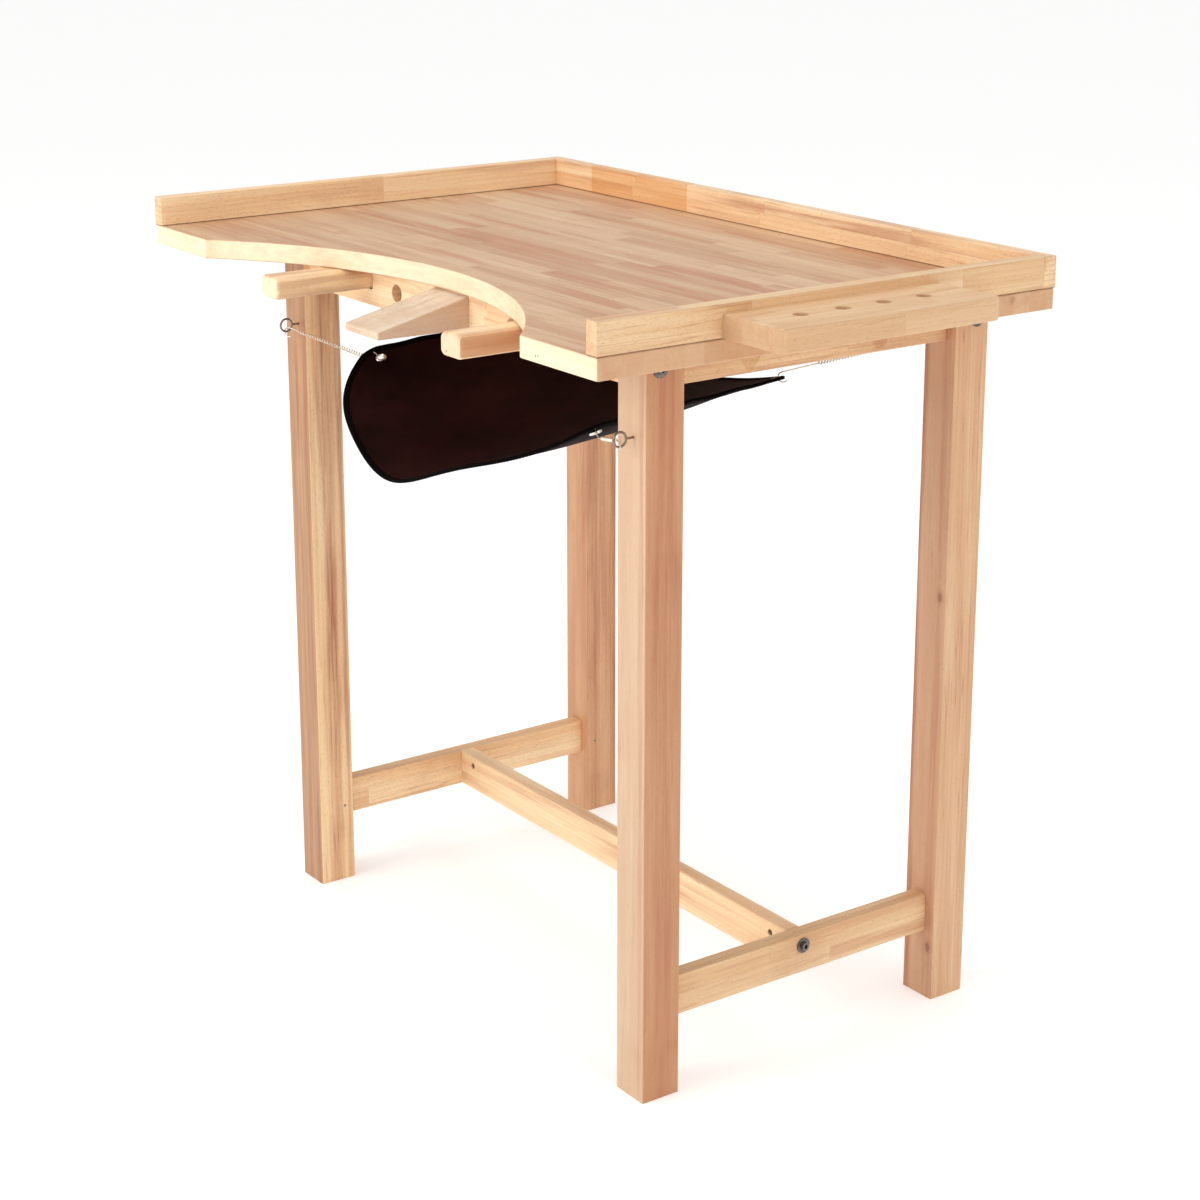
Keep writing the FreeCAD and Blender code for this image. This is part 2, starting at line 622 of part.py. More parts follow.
def make_arm_rest(side):
    """A bar that runs back through the front rail under the worktop, with a peg that stops it."""
    corner = (f"({arm_centre(side)} - Sizes.arm_width / 2)", ARM_FRONT, ARM_LIFT)
    body = new_body(f"arm_rest_{side}", corner)
    sketch = new_sketch(body, "XZ_Plane")
    rectangle(sketch, "Sizes.arm_width", "Sizes.arm_height")
    bar = pad(body, sketch, "Sizes.arm_length")
    if bar.Shape.BoundBox.YMin < -1:
        bar.Reversed = True
        doc.recompute()
    rounded = round_edges(body, bar, "Sizes.arm_round", lambda edge: runs_along(edge, "Y"))
    round_edges(body, rounded, "Sizes.arm_end_round", lambda edge: edge.BoundBox.YMax < 0.01)
    place = ("Sizes.arm_width / 2", f"{PEG_Y} - {ARM_FRONT}", "0")
    depth = "(Sizes.peg_length - Sizes.peg_drop + Sizes.screw_clearance)"
    drill(body, place, "+Z", "(Sizes.peg_radius + Sizes.screw_clearance / 2)", depth)
    peg = doc.addObject("Part::Cylinder", f"arm_stop_peg_{side}")
    peg.Label = f"arm_stop_peg_{side}"
    peg.setExpression("Radius", "Sizes.peg_radius")
    peg.setExpression("Height", "Sizes.peg_length")
    bind(peg, "Placement.Base", (arm_centre(side), PEG_Y, f"{ARM_LIFT} - Sizes.peg_drop"))
    return body, peg


HOLDER_Y = f"({FRONT_EDGE} + Sizes.holder_setback)"


def holder_screw_places():
    end_gap = "Sizes.holder_length / 8"
    return (
        f"({HOLDER_Y} + {end_gap})",
        f"({HOLDER_Y} + Sizes.holder_length / 2)",
        f"({HOLDER_Y} + Sizes.holder_length - {end_gap})",
    )


def make_tool_holder():
    """A plank with a row of round holes, screwed to the outside of the right fence."""
    body = new_body("tool_holder", (RIGHT_EDGE, HOLDER_Y, WORKTOP))
    sketch = new_sketch(body, "XY_Plane")
    rectangle(sketch, "Sizes.holder_width", "Sizes.holder_length")
    plank = pad(body, sketch, "Sizes.holder_thickness")
    outer = number("Sizes.holder_width")
    corners = round_edges(body, plank, "Sizes.holder_corner",
                          lambda edge: runs_along(edge, "Z") and edge.BoundBox.XMin > outer - 0.01)
    round_edges(body, corners, "Sizes.edge_round",
                lambda edge: edge.BoundBox.ZLength < 0.01 and edge.BoundBox.XMax > 0.01)
    first = "(Sizes.holder_length / 2 - 1.5 * Sizes.holder_hole_pitch)"
    hole = drill(body, ("Sizes.holder_hole_inset", first, "0"), "+Z",
                 "Sizes.holder_hole_radius", "Sizes.holder_thickness")
    row = body.newObject("PartDesign::LinearPattern", "tool_holder_row")
    row.Originals = [hole]
    along = [feature for feature in body.Origin.OriginFeatures if feature.Role == "Y_Axis"][0]
    row.Direction = (along, [""])
    row.Occurrences = 4
    row.setExpression("Length", "3 * Sizes.holder_hole_pitch")
    body.Tip = row
    doc.recompute()
    depth = "(Sizes.holder_screw_length - Sizes.fence_thickness + Sizes.screw_clearance)"
    for y in holder_screw_places():
        place = ("0", f"{y} - {HOLDER_Y}", "Sizes.holder_thickness / 2")
        drill(body, place, "+X", FENCE_SCREW_HOLE, depth)
    return body


# ---------------------------------------------------------------- fasteners

def cylinder(name, start, turn, radius, height):
    part = doc.addObject("Part::Cylinder", name)
    part.Placement = Placement(Vector(), turn)
    part.setExpression("Radius", radius)
    part.setExpression("Height", height)
    bind(part, "Placement.Base", start)
    return part


def fused(name, base, tool):
    part = doc.addObject("Part::Fuse", name)
    part.Base = base
    part.Tool = tool
    return part


def group(name, members):
    """One node of several separate, like solids."""
    part = doc.addObject("Part::Compound", name)
    part.Label = name
    part.Links = members
    return part


def moved(place, direction, distance):
    """The place moved a distance along one of the six directions."""
    sign = direction[0]
    axis = AXIS_NUMBER[direction[1]]
    result = list(place)
    result[axis] = f"({result[axis]} {sign} ({distance}))"
    return tuple(result)


def make_bolt(name, face, direction, through):
    """A socket head bolt on its washer.  It starts outside the face and runs through the timber."""
    opposite = {"+": "-", "-": "+"}[direction[0]] + direction[1]
    under_head = moved(face, opposite, "Sizes.washer_thickness")
    length = f"(Sizes.washer_thickness + {through} + Sizes.bolt_grip - Sizes.bolt_hole_clearance)"
    shank = cylinder(name + "_shank", under_head, TURN[direction], "Sizes.bolt_radius", length)
    rise = "Sizes.bolt_head_height"
    head = cylinder(name + "_head", under_head, TURN[opposite], "Sizes.bolt_head_radius", rise)
    socket = doc.addObject("Part::Prism", name + "_socket")
    socket.Polygon = 6
    socket.Placement = Placement(Vector(), TURN[opposite])
    socket.setExpression("Circumradius", "Sizes.bolt_socket / sqrt(3)")
    socket.setExpression("Height", "Sizes.bolt_head_height")
    bind(socket, "Placement.Base", moved(under_head, opposite, "Sizes.bolt_head_height / 3"))
    bolt = doc.addObject("Part::Cut", name)
    bolt.Base = fused(name + "_blank", shank, head)
    bolt.Tool = socket
    return bolt


def make_washer(name, face, direction):
    opposite = {"+": "-", "-": "+"}[direction[0]] + direction[1]
    washer = doc.addObject("Part::Cut", name)
    turn = TURN[opposite]
    washer.Base = cylinder(name + "_disc", face, turn, "Sizes.washer_radius", "Sizes.washer_thickness")
    washer.Tool = cylinder(name + "_bore", face, turn, BOLT_HOLE, "Sizes.washer_thickness")
    return washer


def make_barrel_nut(name, centre):
    """A round nut across the bolt, bored for it."""
    start = moved(centre, "-Y", "Sizes.nut_length / 2")
    nut = doc.addObject("Part::Cut", name)
    nut.Base = cylinder(name + "_bar", start, TURN["+Y"], "Sizes.nut_radius", "Sizes.nut_length")
    bore_start = moved(centre, "-X", "Sizes.nut_radius + 1")
    bore_radius = "(Sizes.bolt_radius + Sizes.screw_clearance)"
    nut.Tool = cylinder(name + "_bore", bore_start, TURN["+X"], bore_radius, "2 * Sizes.nut_radius + 2")
    return nut


def make_knock_down_fittings():
    """Bolts, washers and barrel nuts of the long stretcher and of the front and back rails."""
    heights = {"stretcher": "(Sizes.stretcher_lift + Sizes.stretcher_bolt_lift)", "rail": RAIL_BOLT_LIFT}
    rows = {
        "stretcher": {"mid": MID_DEPTH},
        "rail": {row: f"({LEG_Y[row]} + {RAIL_MID_Y[row]})" for row in LEG_Y},
    }
    inset = {"stretcher": RAIL_IN_LEG, "rail": "0"}
    timber = {"stretcher": "Sizes.rail_thickness", "rail": "Sizes.leg_side"}
    for kind in rows:
        bolts, washers, nuts = [], [], []
        for row, y in rows[kind].items():
            for side, direction in (("left", "+X"), ("right", "-X")):
                outer = {"left": f"({LEG_X['left']} + {inset[kind]})",
                         "right": f"({LEG_X['right']} + Sizes.leg_side - {inset[kind]})"}[side]
                face = (outer, y, heights[kind])
                name = f"{kind}_{row}_{side}"
                bolts.append(make_bolt(name + "_bolt", face, direction, timber[kind]))
                washers.append(make_washer(name + "_washer", face, direction))
                centre = moved(face, direction, f"{timber[kind]} + Sizes.nut_from_end")
                nuts.append(make_barrel_nut(name + "_nut", centre))
        group(f"{kind}_bolts", bolts)
        group(f"{kind}_washers", washers)
        group(f"{kind}_barrel_nuts", nuts)


def make_screw(name, seat, turn, length):
    """A countersunk screw, its head's top at the seat and its shank along the turned Z."""
    head = doc.addObject("Part::Cone", name + "_head")
    head.Placement = Placement(Vector(), turn)
    head.setExpression("Radius1", "Sizes.screw_head_radius")
    head.setExpression("Radius2", "Sizes.screw_radius")
    head.setExpression("Height", "Sizes.screw_head_height")
    bind(head, "Placement.Base", seat)
    return fused(name, head, cylinder(name + "_shank", seat, turn, "Sizes.screw_radius", length))


def make_screws():
    from_below = [
        make_screw(f"fence_screw_{index}", (x, y, UNDERSIDE), TURN["+Z"], "Sizes.fence_screw_length")
        for index, (x, y) in enumerate(fence_screw_places())
    ]
    group("fence_screws", from_below)
    inside = f"({RIGHT_EDGE} - Sizes.fence_thickness)"
    height = f"({WORKTOP} + Sizes.holder_thickness / 2)"
    sideways = [
        make_screw(f"holder_screw_{index}", (inside, y, height), TURN["+X"], "Sizes.holder_screw_length")
        for index, y in enumerate(holder_screw_places())
    ]
    group("holder_screws", sideways)
    tilted = []
    for side in LEG_X:
        for row in LEG_Y:
            _, turn, _ = pocket_geometry(side, row)
            under = f"({POCKET_RISE} - Sizes.screw_head_height)"
            seat = along_pocket(side, row, under, "Sizes.pocket_screw_offset")
            length = "(Sizes.pocket_screw_length + Sizes.screw_head_height)"
            tilted.append(make_screw(f"top_screw_{row}_{side}", seat, turn, length))
    group("top_screws", tilted)
    pins = []
    for side, direction in (("left", "-X"), ("right", "+X")):
        face = {"left": f"({LEG_X['left']} + Sizes.leg_side)", "right": LEG_X["right"]}[side]
        for row in LEG_Y:
            y = {"front": f"({LEG_Y['front']} + Sizes.leg_side - Sizes.tenon_length / 2)",
                 "back": f"({LEG_Y['back']} + Sizes.tenon_length / 2)"}[row]
            for kind, lift in TENON_LIFTS.items():
                start = moved((face, y, f"({lift} + Sizes.tenon_height / 3)"), direction, "1")
                pins.append(cylinder(f"tenon_pin_{kind}_{row}_{side}", start, TURN[direction],
                                     "Sizes.tenon_pin_radius", "Sizes.tenon_pin_length - 1"))
    group("tenon_pins", pins)


# ---------------------------------------------------------------- skin and its suspension

size = {alias: float(sheet.get(alias)) for alias in SIZES}
middle_x = number(MIDDLE)
front_y = number(FRONT_EDGE)
underside = size["leg_length"]
EDGE_TURN = math.radians(77)


def skin_front(across):
    """Point of the skin's front edge; across runs from -1, left, to 1, right."""
    turn = EDGE_TURN * across
    x = size["skin_half_width"] * math.sin(turn) / math.sin(EDGE_TURN)
    full = (math.cos(turn) - math.cos(EDGE_TURN)) / (1 - math.cos(EDGE_TURN))
    y = front_y + size["skin_front_setback"] - size["skin_bulge"] * full
    sag = size["skin_front_sag"] * (0.7 * full + 0.3 * full ** 12)
    z = underside - size["skin_front_drop"] - sag
    return Vector(middle_x + x, y, z)


def skin_rear(across):
    z = underside - size["skin_rear_drop"] - size["skin_rear_sag"] * (1 - across ** 2)
    return Vector(middle_x + size["skin_half_width"] * across, front_y + size["skin_rear_setback"], z)


def skin_point(across, back):
    """Point of the skin's upper face; back runs from 0 at the front edge to 1 at the rear."""
    belly = size["skin_belly"] * 4 * back * (1 - back) * (1 - across ** 2)
    return skin_front(across) * (1 - back) + skin_rear(across) * back - Vector(0, 0, belly)


def eye_frames():
    """For each screw eye: the ring's centre, the ring's axis and the way its shank points."""
    eyes = {}
    for side in LEG_X:
        for row in LEG_Y:
            from_middle = number(BETWEEN_LEGS_X) / 2 + number(EYE_INSET[side, row])
            x = middle_x + int(SIGN[side]) * from_middle
            y = number(LEG_Y[row]) - size["eye_standoff"]
            centre = Vector(x, y, underside - number(EYE_DROP[row]))
            eyes[side, row] = (centre, Vector(1, 0, 0), Vector(0, 1, 0))
    return eyes


def across_to(direction, normal):
    """The unit direction nearest to the first that is square to the second."""
    result = direction - normal * direction.dot(normal)
    result.normalize()
    return result


def skin_place(target_x, target_y, across, back):
    """Point and upward normal of the skin's upper face above a place in plan, from a first guess."""
    depth = size["skin_rear_setback"] - size["skin_front_setback"]
    for _ in range(30):
        here = skin_point(across, back)
        across += (target_x - here.x) / size["skin_half_width"]
        back += (target_y - here.y) / depth
    step = 0.01
    along_x = skin_point(across + step, back) - skin_point(across - step, back)
    along_y = skin_point(across, back + step) - skin_point(across, back - step)
    normal = along_x.cross(along_y)
    normal.normalize()
    return skin_point(across, back), normal


def corner_frames():
    """For each corner of the skin: the point of the eye's wire that the spring hooks, the side of that
    wire that the spring's shank passes, the grommet's centre, the pull from eye to grommet, the
    grommet's axis, and the skin's own normal."""
    eyes = eye_frames()
    frames = []
    for side, sign in (("left", -1), ("right", 1)):
        for row, start in (("front", 0), ("back", 1)):
            corner = skin_point(sign, start)
            inset = size["grommet_inset"]
            inward = Vector(-sign, 1 - 2 * start, 0) * inset
            guess = sign * (1 - 0.3 * inset / size["skin_half_width"])
            target = corner + inward
            upper, normal = skin_place(target.x, target.y, guess, abs(start - 0.05))
            centre = upper - normal * (size["skin_thickness"] / 2)
            ring_centre, ring_axis, shank_way = eyes[side, row]
            below = Vector(0, 0, -1)
            seat_way = {"front": below, "back": below - shank_way}[row]
            seat_way = across_to(seat_way, ring_axis)
            seat = ring_centre + seat_way * size["eye_radius"]
            pull = centre - seat
            pull.normalize()
            open_side = {"front": shank_way * -1, "back": below}[row]
            eye_side = across_to(ring_axis.cross(seat_way), pull).cross(pull)
            eye_side = eye_side * math.copysign(1, eye_side.dot(open_side))
            frames.append((seat, eye_side, centre, pull, across_to(normal, pull), normal))
    return frames


def add_shape(name, shape):
    part = doc.addObject("Part::Feature", name)
    part.Label = name
    part.Shape = shape
    return part


def make_skin():
    """A sheet of even thickness, bowed out at the front and hung from its four corners."""
    steps_across, steps_back = 12, 6
    grid = [
        [skin_point(-1 + 2 * i / steps_across, j / steps_back) for j in range(steps_back + 1)]
        for i in range(steps_across + 1)
    ]
    surface = Part.BSplineSurface()
    surface.interpolate(grid)
    upper = surface.toShape()
    lower = upper.copy()
    lower.translate(Vector(0, 0, -size["skin_thickness"]))
    walls = [Part.makeRuledSurface(a, b) for a, b in zip(upper.Edges, lower.Edges)]
    shell = Part.makeShell(upper.Faces + lower.Faces + [face for wall in walls for face in wall.Faces])
    shell.sewShape()
    solid = Part.makeSolid(Part.Shell(shell.Faces))
    if solid.Volume < 0:
        solid.reverse()
    hole_radius = size["grommet_radius"] + size["grommet_gap"]
    reach = 2 * size["grommet_radius"]
    for _, _, centre, _, axis, _ in corner_frames():
        solid = solid.cut(Part.makeCylinder(hole_radius, 2 * reach, centre - axis * reach, axis))
    return add_shape("skin", max(solid.Solids, key=lambda piece: piece.Volume))


def make_grommets():
    """Round eyelets with a rolled rim, one in each corner of the skin."""
    hole = size["grommet_hole_radius"]
    rim = size["grommet_radius"]
    half = size["grommet_height"] / 2
    roll = (rim - hole) / 4
    profile = Part.makePolygon([
        Vector(hole, 0, roll - half),
        Vector(hole, 0, half - roll),
        Vector(hole + roll, 0, half),
        Vector(rim - roll, 0, half),
        Vector(rim, 0, half - roll),
        Vector(rim, 0, roll - half),
        Vector(rim - roll, 0, -half),
        Vector(hole + roll, 0, -half),
        Vector(hole, 0, roll - half),
    ])
    ring = Part.Face(profile).revolve(Vector(), Vector(0, 0, 1), 360)
    rings = []
    for _, _, centre, pull, axis, _ in corner_frames():
        placed = ring.copy()
        placed.Placement = Placement(centre, Rotation(pull, axis.cross(pull), axis, "ZXY"))
        rings.append(placed)
    return add_shape("skin_grommets", Part.makeCompound(rings))


def make_screw_eyes():
    """Rings of round wire, each on a shank that is screwed into the timber."""
    eyes = []
    wire = size["eye_wire_radius"]
    for centre, axis, way in eye_frames().values():
        ring = Part.makeTorus(size["eye_radius"], wire, centre, axis)
        start = centre + way * size["eye_radius"]
        length = size["eye_standoff"] - size["eye_radius"] + size["eye_shank_length"]
        eyes.append(ring.fuse(Part.makeCylinder(wire, length, start, way)).removeSplitter())
    return add_shape("screw_eyes", Part.makeCompound(eyes))


def hook_arc(centre, shank_end, onward):
    """Start, middle and end of a hook's bend: round the centre from the shank's end, going onward."""
    spoke = shank_end - centre
    radius = spoke.Length
    spoke.normalize()
    onward = across_to(onward, spoke)
    turn = math.radians(size["hook_turn"])
    return [
        centre + (spoke * math.cos(angle) + onward * math.sin(angle)) * radius
        for angle in (0, turn / 2, turn)
    ]


def make_spring(seat, eye_side, grommet, pull, axis, normal):
    """An extension spring: a close coil with a wire hook at each end, one round the eye's wire at the
    seat and one through the grommet, its shank on the side that the skin leans away from."""
    wire = size["spring_wire_radius"]
    bend = size["spring_hook_radius"]
    slack = size["hook_gap"] + wire
    eye_hook = seat + pull * (bend - slack - size["eye_wire_radius"])
    grommet_hook = grommet - pull * (size["grommet_hole_radius"] - slack + bend)
    line = pull
    for _ in range(8):
        start = eye_hook + across_to(eye_side, line) * bend
        end = grommet_hook + across_to(axis * math.copysign(1, -pull.dot(normal)), line) * bend
        line = end - start
        line.normalize()
    near = hook_arc(eye_hook, start, line * -1)
    far = hook_arc(grommet_hook, end, line)
    path = Part.Wire([
        Part.Arc(near[2], near[1], near[0]).toShape(),
        Part.LineSegment(start, end).toShape(),
        Part.Arc(far[0], far[1], far[2]).toShape(),
    ])
    tip_way = path.Edges[0].tangentAt(path.Edges[0].FirstParameter)
    section = Part.Wire([Part.makeCircle(wire, near[2], tip_way)])
    rod = path.makePipeShell([section], True, False)
    coil_start = start + line * size["spring_lead"]
    coil = Part.makeCylinder(size["spring_coil_radius"], size["spring_coil_length"], coil_start, line)
    return rod.fuse(coil)


def make_springs():
    springs = [make_spring(*frame) for frame in corner_frames()]
    return add_shape("skin_springs", Part.makeCompound(springs))


# ---------------------------------------------------------------- build and write

make_bench_top()
make_fences()
for leg_side in LEG_X:
    for leg_row in LEG_Y:
        make_leg(leg_side, leg_row)
make_stretchers()
make_side_rails()
make_front_rail()
make_back_rail()
make_bench_pin()
for arm_side in LEG_X:
    make_arm_rest(arm_side)
make_tool_holder()
make_knock_down_fittings()
make_screws()
make_skin()
make_grommets()
make_screw_eyes()
make_springs()
doc.recompute()

NODES = [
    "bench_top", "fence_left", "fence_right", "fence_back",
    "leg_front_left", "leg_front_right", "leg_back_left", "leg_back_right",
    "stretcher_left", "stretcher_right", "stretcher_long",
    "side_rail_left", "side_rail_right", "front_rail", "back_rail",
    "bench_pin", "arm_rest_left", "arm_rest_right", "arm_stop_peg_left", "arm_stop_peg_right",
    "tool_holder", "skin", "skin_grommets", "skin_springs", "screw_eyes",
    "stretcher_bolts", "stretcher_washers", "stretcher_barrel_nuts",
    "rail_bolts", "rail_washers", "rail_barrel_nuts",
    "fence_screws", "top_screws", "holder_screws", "tenon_pins",
]

for item in doc.Objects:
    if {"Invalid", "Error"} & set(item.State):
        raise RuntimeError(f"{item.Name} failed: {item.State}")

os.makedirs("parts", exist_ok=True)
for node in NODES:
    shape = doc.getObjectsByLabel(node)[0].Shape
    if shape.isNull() or not shape.isValid():
        raise RuntimeError(f"{node} has no valid shape")
    shape.exportStep(f"parts/{node}.step")
    print(node, "solids", len(shape.Solids), "volume", round(shape.Volume, 1))
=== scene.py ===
"""Jewelers bench: materials, soft parts, springs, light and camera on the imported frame. Metres."""
import math
import random
from collections import namedtuple

import bmesh
import bpy
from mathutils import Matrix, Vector


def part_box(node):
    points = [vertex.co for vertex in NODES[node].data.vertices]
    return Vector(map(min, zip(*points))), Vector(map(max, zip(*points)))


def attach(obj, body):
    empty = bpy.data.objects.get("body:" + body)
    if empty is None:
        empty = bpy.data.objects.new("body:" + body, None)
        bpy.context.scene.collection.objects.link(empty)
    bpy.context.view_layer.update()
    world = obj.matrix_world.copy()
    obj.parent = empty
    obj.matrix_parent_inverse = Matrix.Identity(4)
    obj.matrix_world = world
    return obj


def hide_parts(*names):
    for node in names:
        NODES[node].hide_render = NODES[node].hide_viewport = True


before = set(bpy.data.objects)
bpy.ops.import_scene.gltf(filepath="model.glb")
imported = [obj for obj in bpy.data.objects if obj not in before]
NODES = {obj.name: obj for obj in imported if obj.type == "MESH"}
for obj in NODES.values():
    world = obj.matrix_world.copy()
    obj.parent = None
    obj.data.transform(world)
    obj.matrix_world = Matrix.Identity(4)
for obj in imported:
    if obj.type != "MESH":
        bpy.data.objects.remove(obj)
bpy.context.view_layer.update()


def corners(node):
    """A CAD node's lowest and highest corner, to the micrometre."""
    return [[round(value, 6) for value in corner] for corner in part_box(node)]


(TOP_LEFT, FRONT_Y, UNDERSIDE), (TOP_RIGHT, _, TOP_FACE) = corners("bench_top")
MIDDLE_X = round((TOP_LEFT + TOP_RIGHT) / 2, 6)
(LEG_INNER, FRONT_LEG_FACE, _), (LEG_OUTER, _, _) = corners("leg_front_right")
(_, BACK_LEG_FACE, _), (_, BACK_LEG_REAR, _) = corners("leg_back_right")
HALF_LEG_GAP = round(LEG_INNER - MIDDLE_X, 6)
LEFT_LEG_INNER = round(MIDDLE_X - HALF_LEG_GAP, 6)


def colour(red, green, blue):
    """An sRGB colour, 0 to 255, as the linear one that a shader takes."""
    def linear(level):
        level /= 255
        return level / 12.92 if level <= 0.04045 else ((level + 0.055) / 1.055) ** 2.4
    return (linear(red), linear(green), linear(blue), 1.0)


# ---------------------------------------------------------------- shader nodes

AXES = {"x": (1, 0, 0), "y": (0, 1, 0), "z": (0, 0, 1)}
WHITE = (1, 1, 1, 1)


class Shader:
    """One material's nodes. The methods take sockets or plain values and return a socket."""

    def __init__(self, name):
        self.material = bpy.data.materials.new(name)
        self.material.use_nodes = True
        self.tree = self.material.node_tree
        self.tree.nodes.clear()
        output = self.tree.nodes.new("ShaderNodeOutputMaterial")
        self.surface = self.tree.nodes.new("ShaderNodeBsdfPrincipled")
        self.tree.links.new(self.surface.outputs["BSDF"], output.inputs["Surface"])

    def put(self, socket, value):
        if isinstance(value, bpy.types.NodeSocket):
            self.tree.links.new(value, socket)
        else:
            socket.default_value = value

    def node(self, kind, **settings):
        made = self.tree.nodes.new(kind)
        for key, value in settings.items():
            setattr(made, key, value)
        return made

    def fill(self, made, **inputs):
        """Puts values into a node's inputs by name, with _ for a space."""
        for key, value in inputs.items():
            self.put(made.inputs[key.replace("_", " ")], value)
        return made

    def fill_in_order(self, made, values):
        for socket, value in zip(made.inputs, values):
            self.put(socket, value)
        return made

    def math(self, operation, *values, clamp=False):
        made = self.node("ShaderNodeMath", operation=operation, use_clamp=clamp)
        return self.fill_in_order(made, values).outputs[0]

    def vector(self, operation, *values):
        made = self.fill_in_order(self.node("ShaderNodeVectorMath", operation=operation), values)
        return made.outputs["Value" if operation in ("LENGTH", "DOT_PRODUCT") else "Vector"]

    def combine(self, x, y, z):
        return self.fill_in_order(self.node("ShaderNodeCombineXYZ"), (x, y, z)).outputs[0]

    def separate(self, vector):
        made = self.fill_in_order(self.node("ShaderNodeSeparateXYZ"), (vector,))
        return made.outputs[0], made.outputs[1], made.outputs[2]

    def place(self):
        return self.node("ShaderNodeTexCoord").outputs["Object"]

    def noise(self, vector, scale=1.0, detail=3.0, roughness=0.5, distortion=0.0):
        made = self.fill(self.node("ShaderNodeTexNoise"), Vector=vector, Scale=scale, Detail=detail,
                         Roughness=roughness, Distortion=distortion)
        return made.outputs["Fac"]

    def random(self, vector):
        made = self.node("ShaderNodeTexWhiteNoise", noise_dimensions="3D")
        return self.fill(made, Vector=vector).outputs["Color"]

    def cell_edges(self, vector, scale):
        """Distance to the edge of the nearest of many irregular cells."""
        made = self.node("ShaderNodeTexVoronoi", feature="DISTANCE_TO_EDGE")
        return self.fill(made, Vector=vector, Scale=scale).outputs["Distance"]

    def span(self, value, low, high, to_low=0.0, to_high=1.0):
        """value from low..high to to_low..to_high, smoothly and held at both ends."""
        made = self.node("ShaderNodeMapRange", interpolation_type="SMOOTHSTEP")
        return self.fill_in_order(made, (value, low, high, to_low, to_high)).outputs[0]

    def near_middle(self, value, reach):
        """1 where a noise crosses its middle, 0 from reach away on: thin wandering lines."""
        return self.span(self.math("ABSOLUTE", self.math("SUBTRACT", value, 0.5)), reach, 0.0)

    def ramp(self, factor, stops):
        made = self.node("ShaderNodeValToRGB")
        elements = made.color_ramp.elements
        while len(elements) < len(stops):
            elements.new(0.5)
        for element, (position, shade) in zip(elements, stops):
            element.position = position
            element.color = shade
        self.put(made.inputs[0], factor)
        return made.outputs[0]

    def mix(self, factor, first, second, blend="MIX"):
        """A colour mix. The node has one pair of inputs for each kind of value; 6 and 7 are the colours."""
        made = self.node("ShaderNodeMix", data_type="RGBA", blend_type=blend)
        self.put(made.inputs["Factor"], factor)
        self.put(made.inputs[6], first)
        self.put(made.inputs[7], second)
        return made.outputs[2]

    def flat_normal(self):
        return self.node("ShaderNodeNewGeometry").outputs["Normal"]

    def facing(self, axis, low, high):
        """1 on faces that lie across an axis, 0 on the others."""
        turned = self.vector("DOT_PRODUCT", self.flat_normal(), AXES[axis])
        return self.span(self.math("ABSOLUTE", turned), low, high)

    def soft_edge(self, radius):
        """1 on edges and 0 on flat faces, and the normal as if the edges were rounded over."""
        bevel = self.fill(self.node("ShaderNodeBevel", samples=4), Radius=radius)
        agreement = self.vector("DOT_PRODUCT", bevel.outputs[0], self.flat_normal())
        return self.span(agreement, 0.995, 0.86), bevel.outputs[0]

    def bump(self, height, distance, strength, normal=None):
        made = self.fill(self.node("ShaderNodeBump"), Strength=strength, Distance=distance, Height=height)
        if normal is not None:
            self.put(made.inputs["Normal"], normal)
        return made.outputs[0]

    def finish(self, base, roughness, normal, **uniform):
        """Closes the material. What is the same all over goes straight onto the shader's own sockets."""
        self.fill(self.surface, Base_Color=base, Roughness=roughness, Normal=normal, **uniform)
        return self.material


# ---------------------------------------------------------------- timber

LIGHT_WOOD = (colour(241, 208, 168), colour(233, 195, 150), colour(224, 182, 134), colour(211, 163, 115))
FENCE_WOOD = (colour(255, 229, 190), colour(251, 215, 169), colour(244, 199, 149), colour(230, 176, 124))
LEG_WOOD = (colour(232, 196, 158), colour(224, 184, 144), colour(215, 171, 130), colour(204, 152, 112))
PINK_WOOD = (colour(225, 191, 155), colour(216, 178, 141), colour(205, 163, 127), colour(190, 142, 110))
RED_WOOD = (colour(224, 178, 138), colour(214, 163, 122), colour(203, 147, 108), colour(188, 130, 94))
PALE_WOOD = (colour(240, 220, 196), colour(234, 210, 184), colour(226, 198, 168), colour(212, 180, 146))

STREAK_RED = colour(196, 132, 97)
LINE_BROWN = colour(170, 108, 72)
PORE_BROWN = colour(150, 98, 62)
GLUE_BROWN = colour(142, 92, 56)
KNOT_RIM = colour(172, 112, 66)
KNOT_CORE = colour(104, 58, 32)
END_BROWN = colour(188, 134, 88)
HEART_BROWN = colour(170, 98, 66)
# Painted shade: the thin dark line where a part sits on the joint below.
SEAM_SHADE_BROWN = colour(120, 68, 38)
DENT_BROWN = colour(84, 48, 30)
# Painted highlight laid along edges.
EDGE_HIGHLIGHT = colour(250, 226, 190)
RUBBED = colour(176, 120, 78)

# Where a wood's four tones lie between the palest grain and the darkest.
TONE_STOPS = (0.08, 0.36, 0.66, 1.0)

# How often each figure repeats per metre, along the grain and the two ways across it.
SLOW_DRIFT = (2.2, 9, 9)
STREAKS = (5, 130, 130)
FIBRES = (34, 900, 900)
FLECKS = (210, 2300, 2300)
BANDS = (3.1, 62, 62)
PATCHES = (2.4, 16, 16)
FINE_LINES = (2.6, 150, 150)
HEART_WANDER = (3.5, 1, 1)

# Strips that are glued up: half a finger joint's pitch, half the width of the two kinds of glue line,
# how many blocks' lengths a strip may lie further along than the next, and how far its grain jumps.
FINGER_HALF_PITCH = 0.0019
SIDE_GLUE_LINE = 0.00035
END_GLUE_LINE = 0.00045
STRIP_STAGGER = 7.3
GRAIN_JUMP = (0.9, 0.9, 0.9)

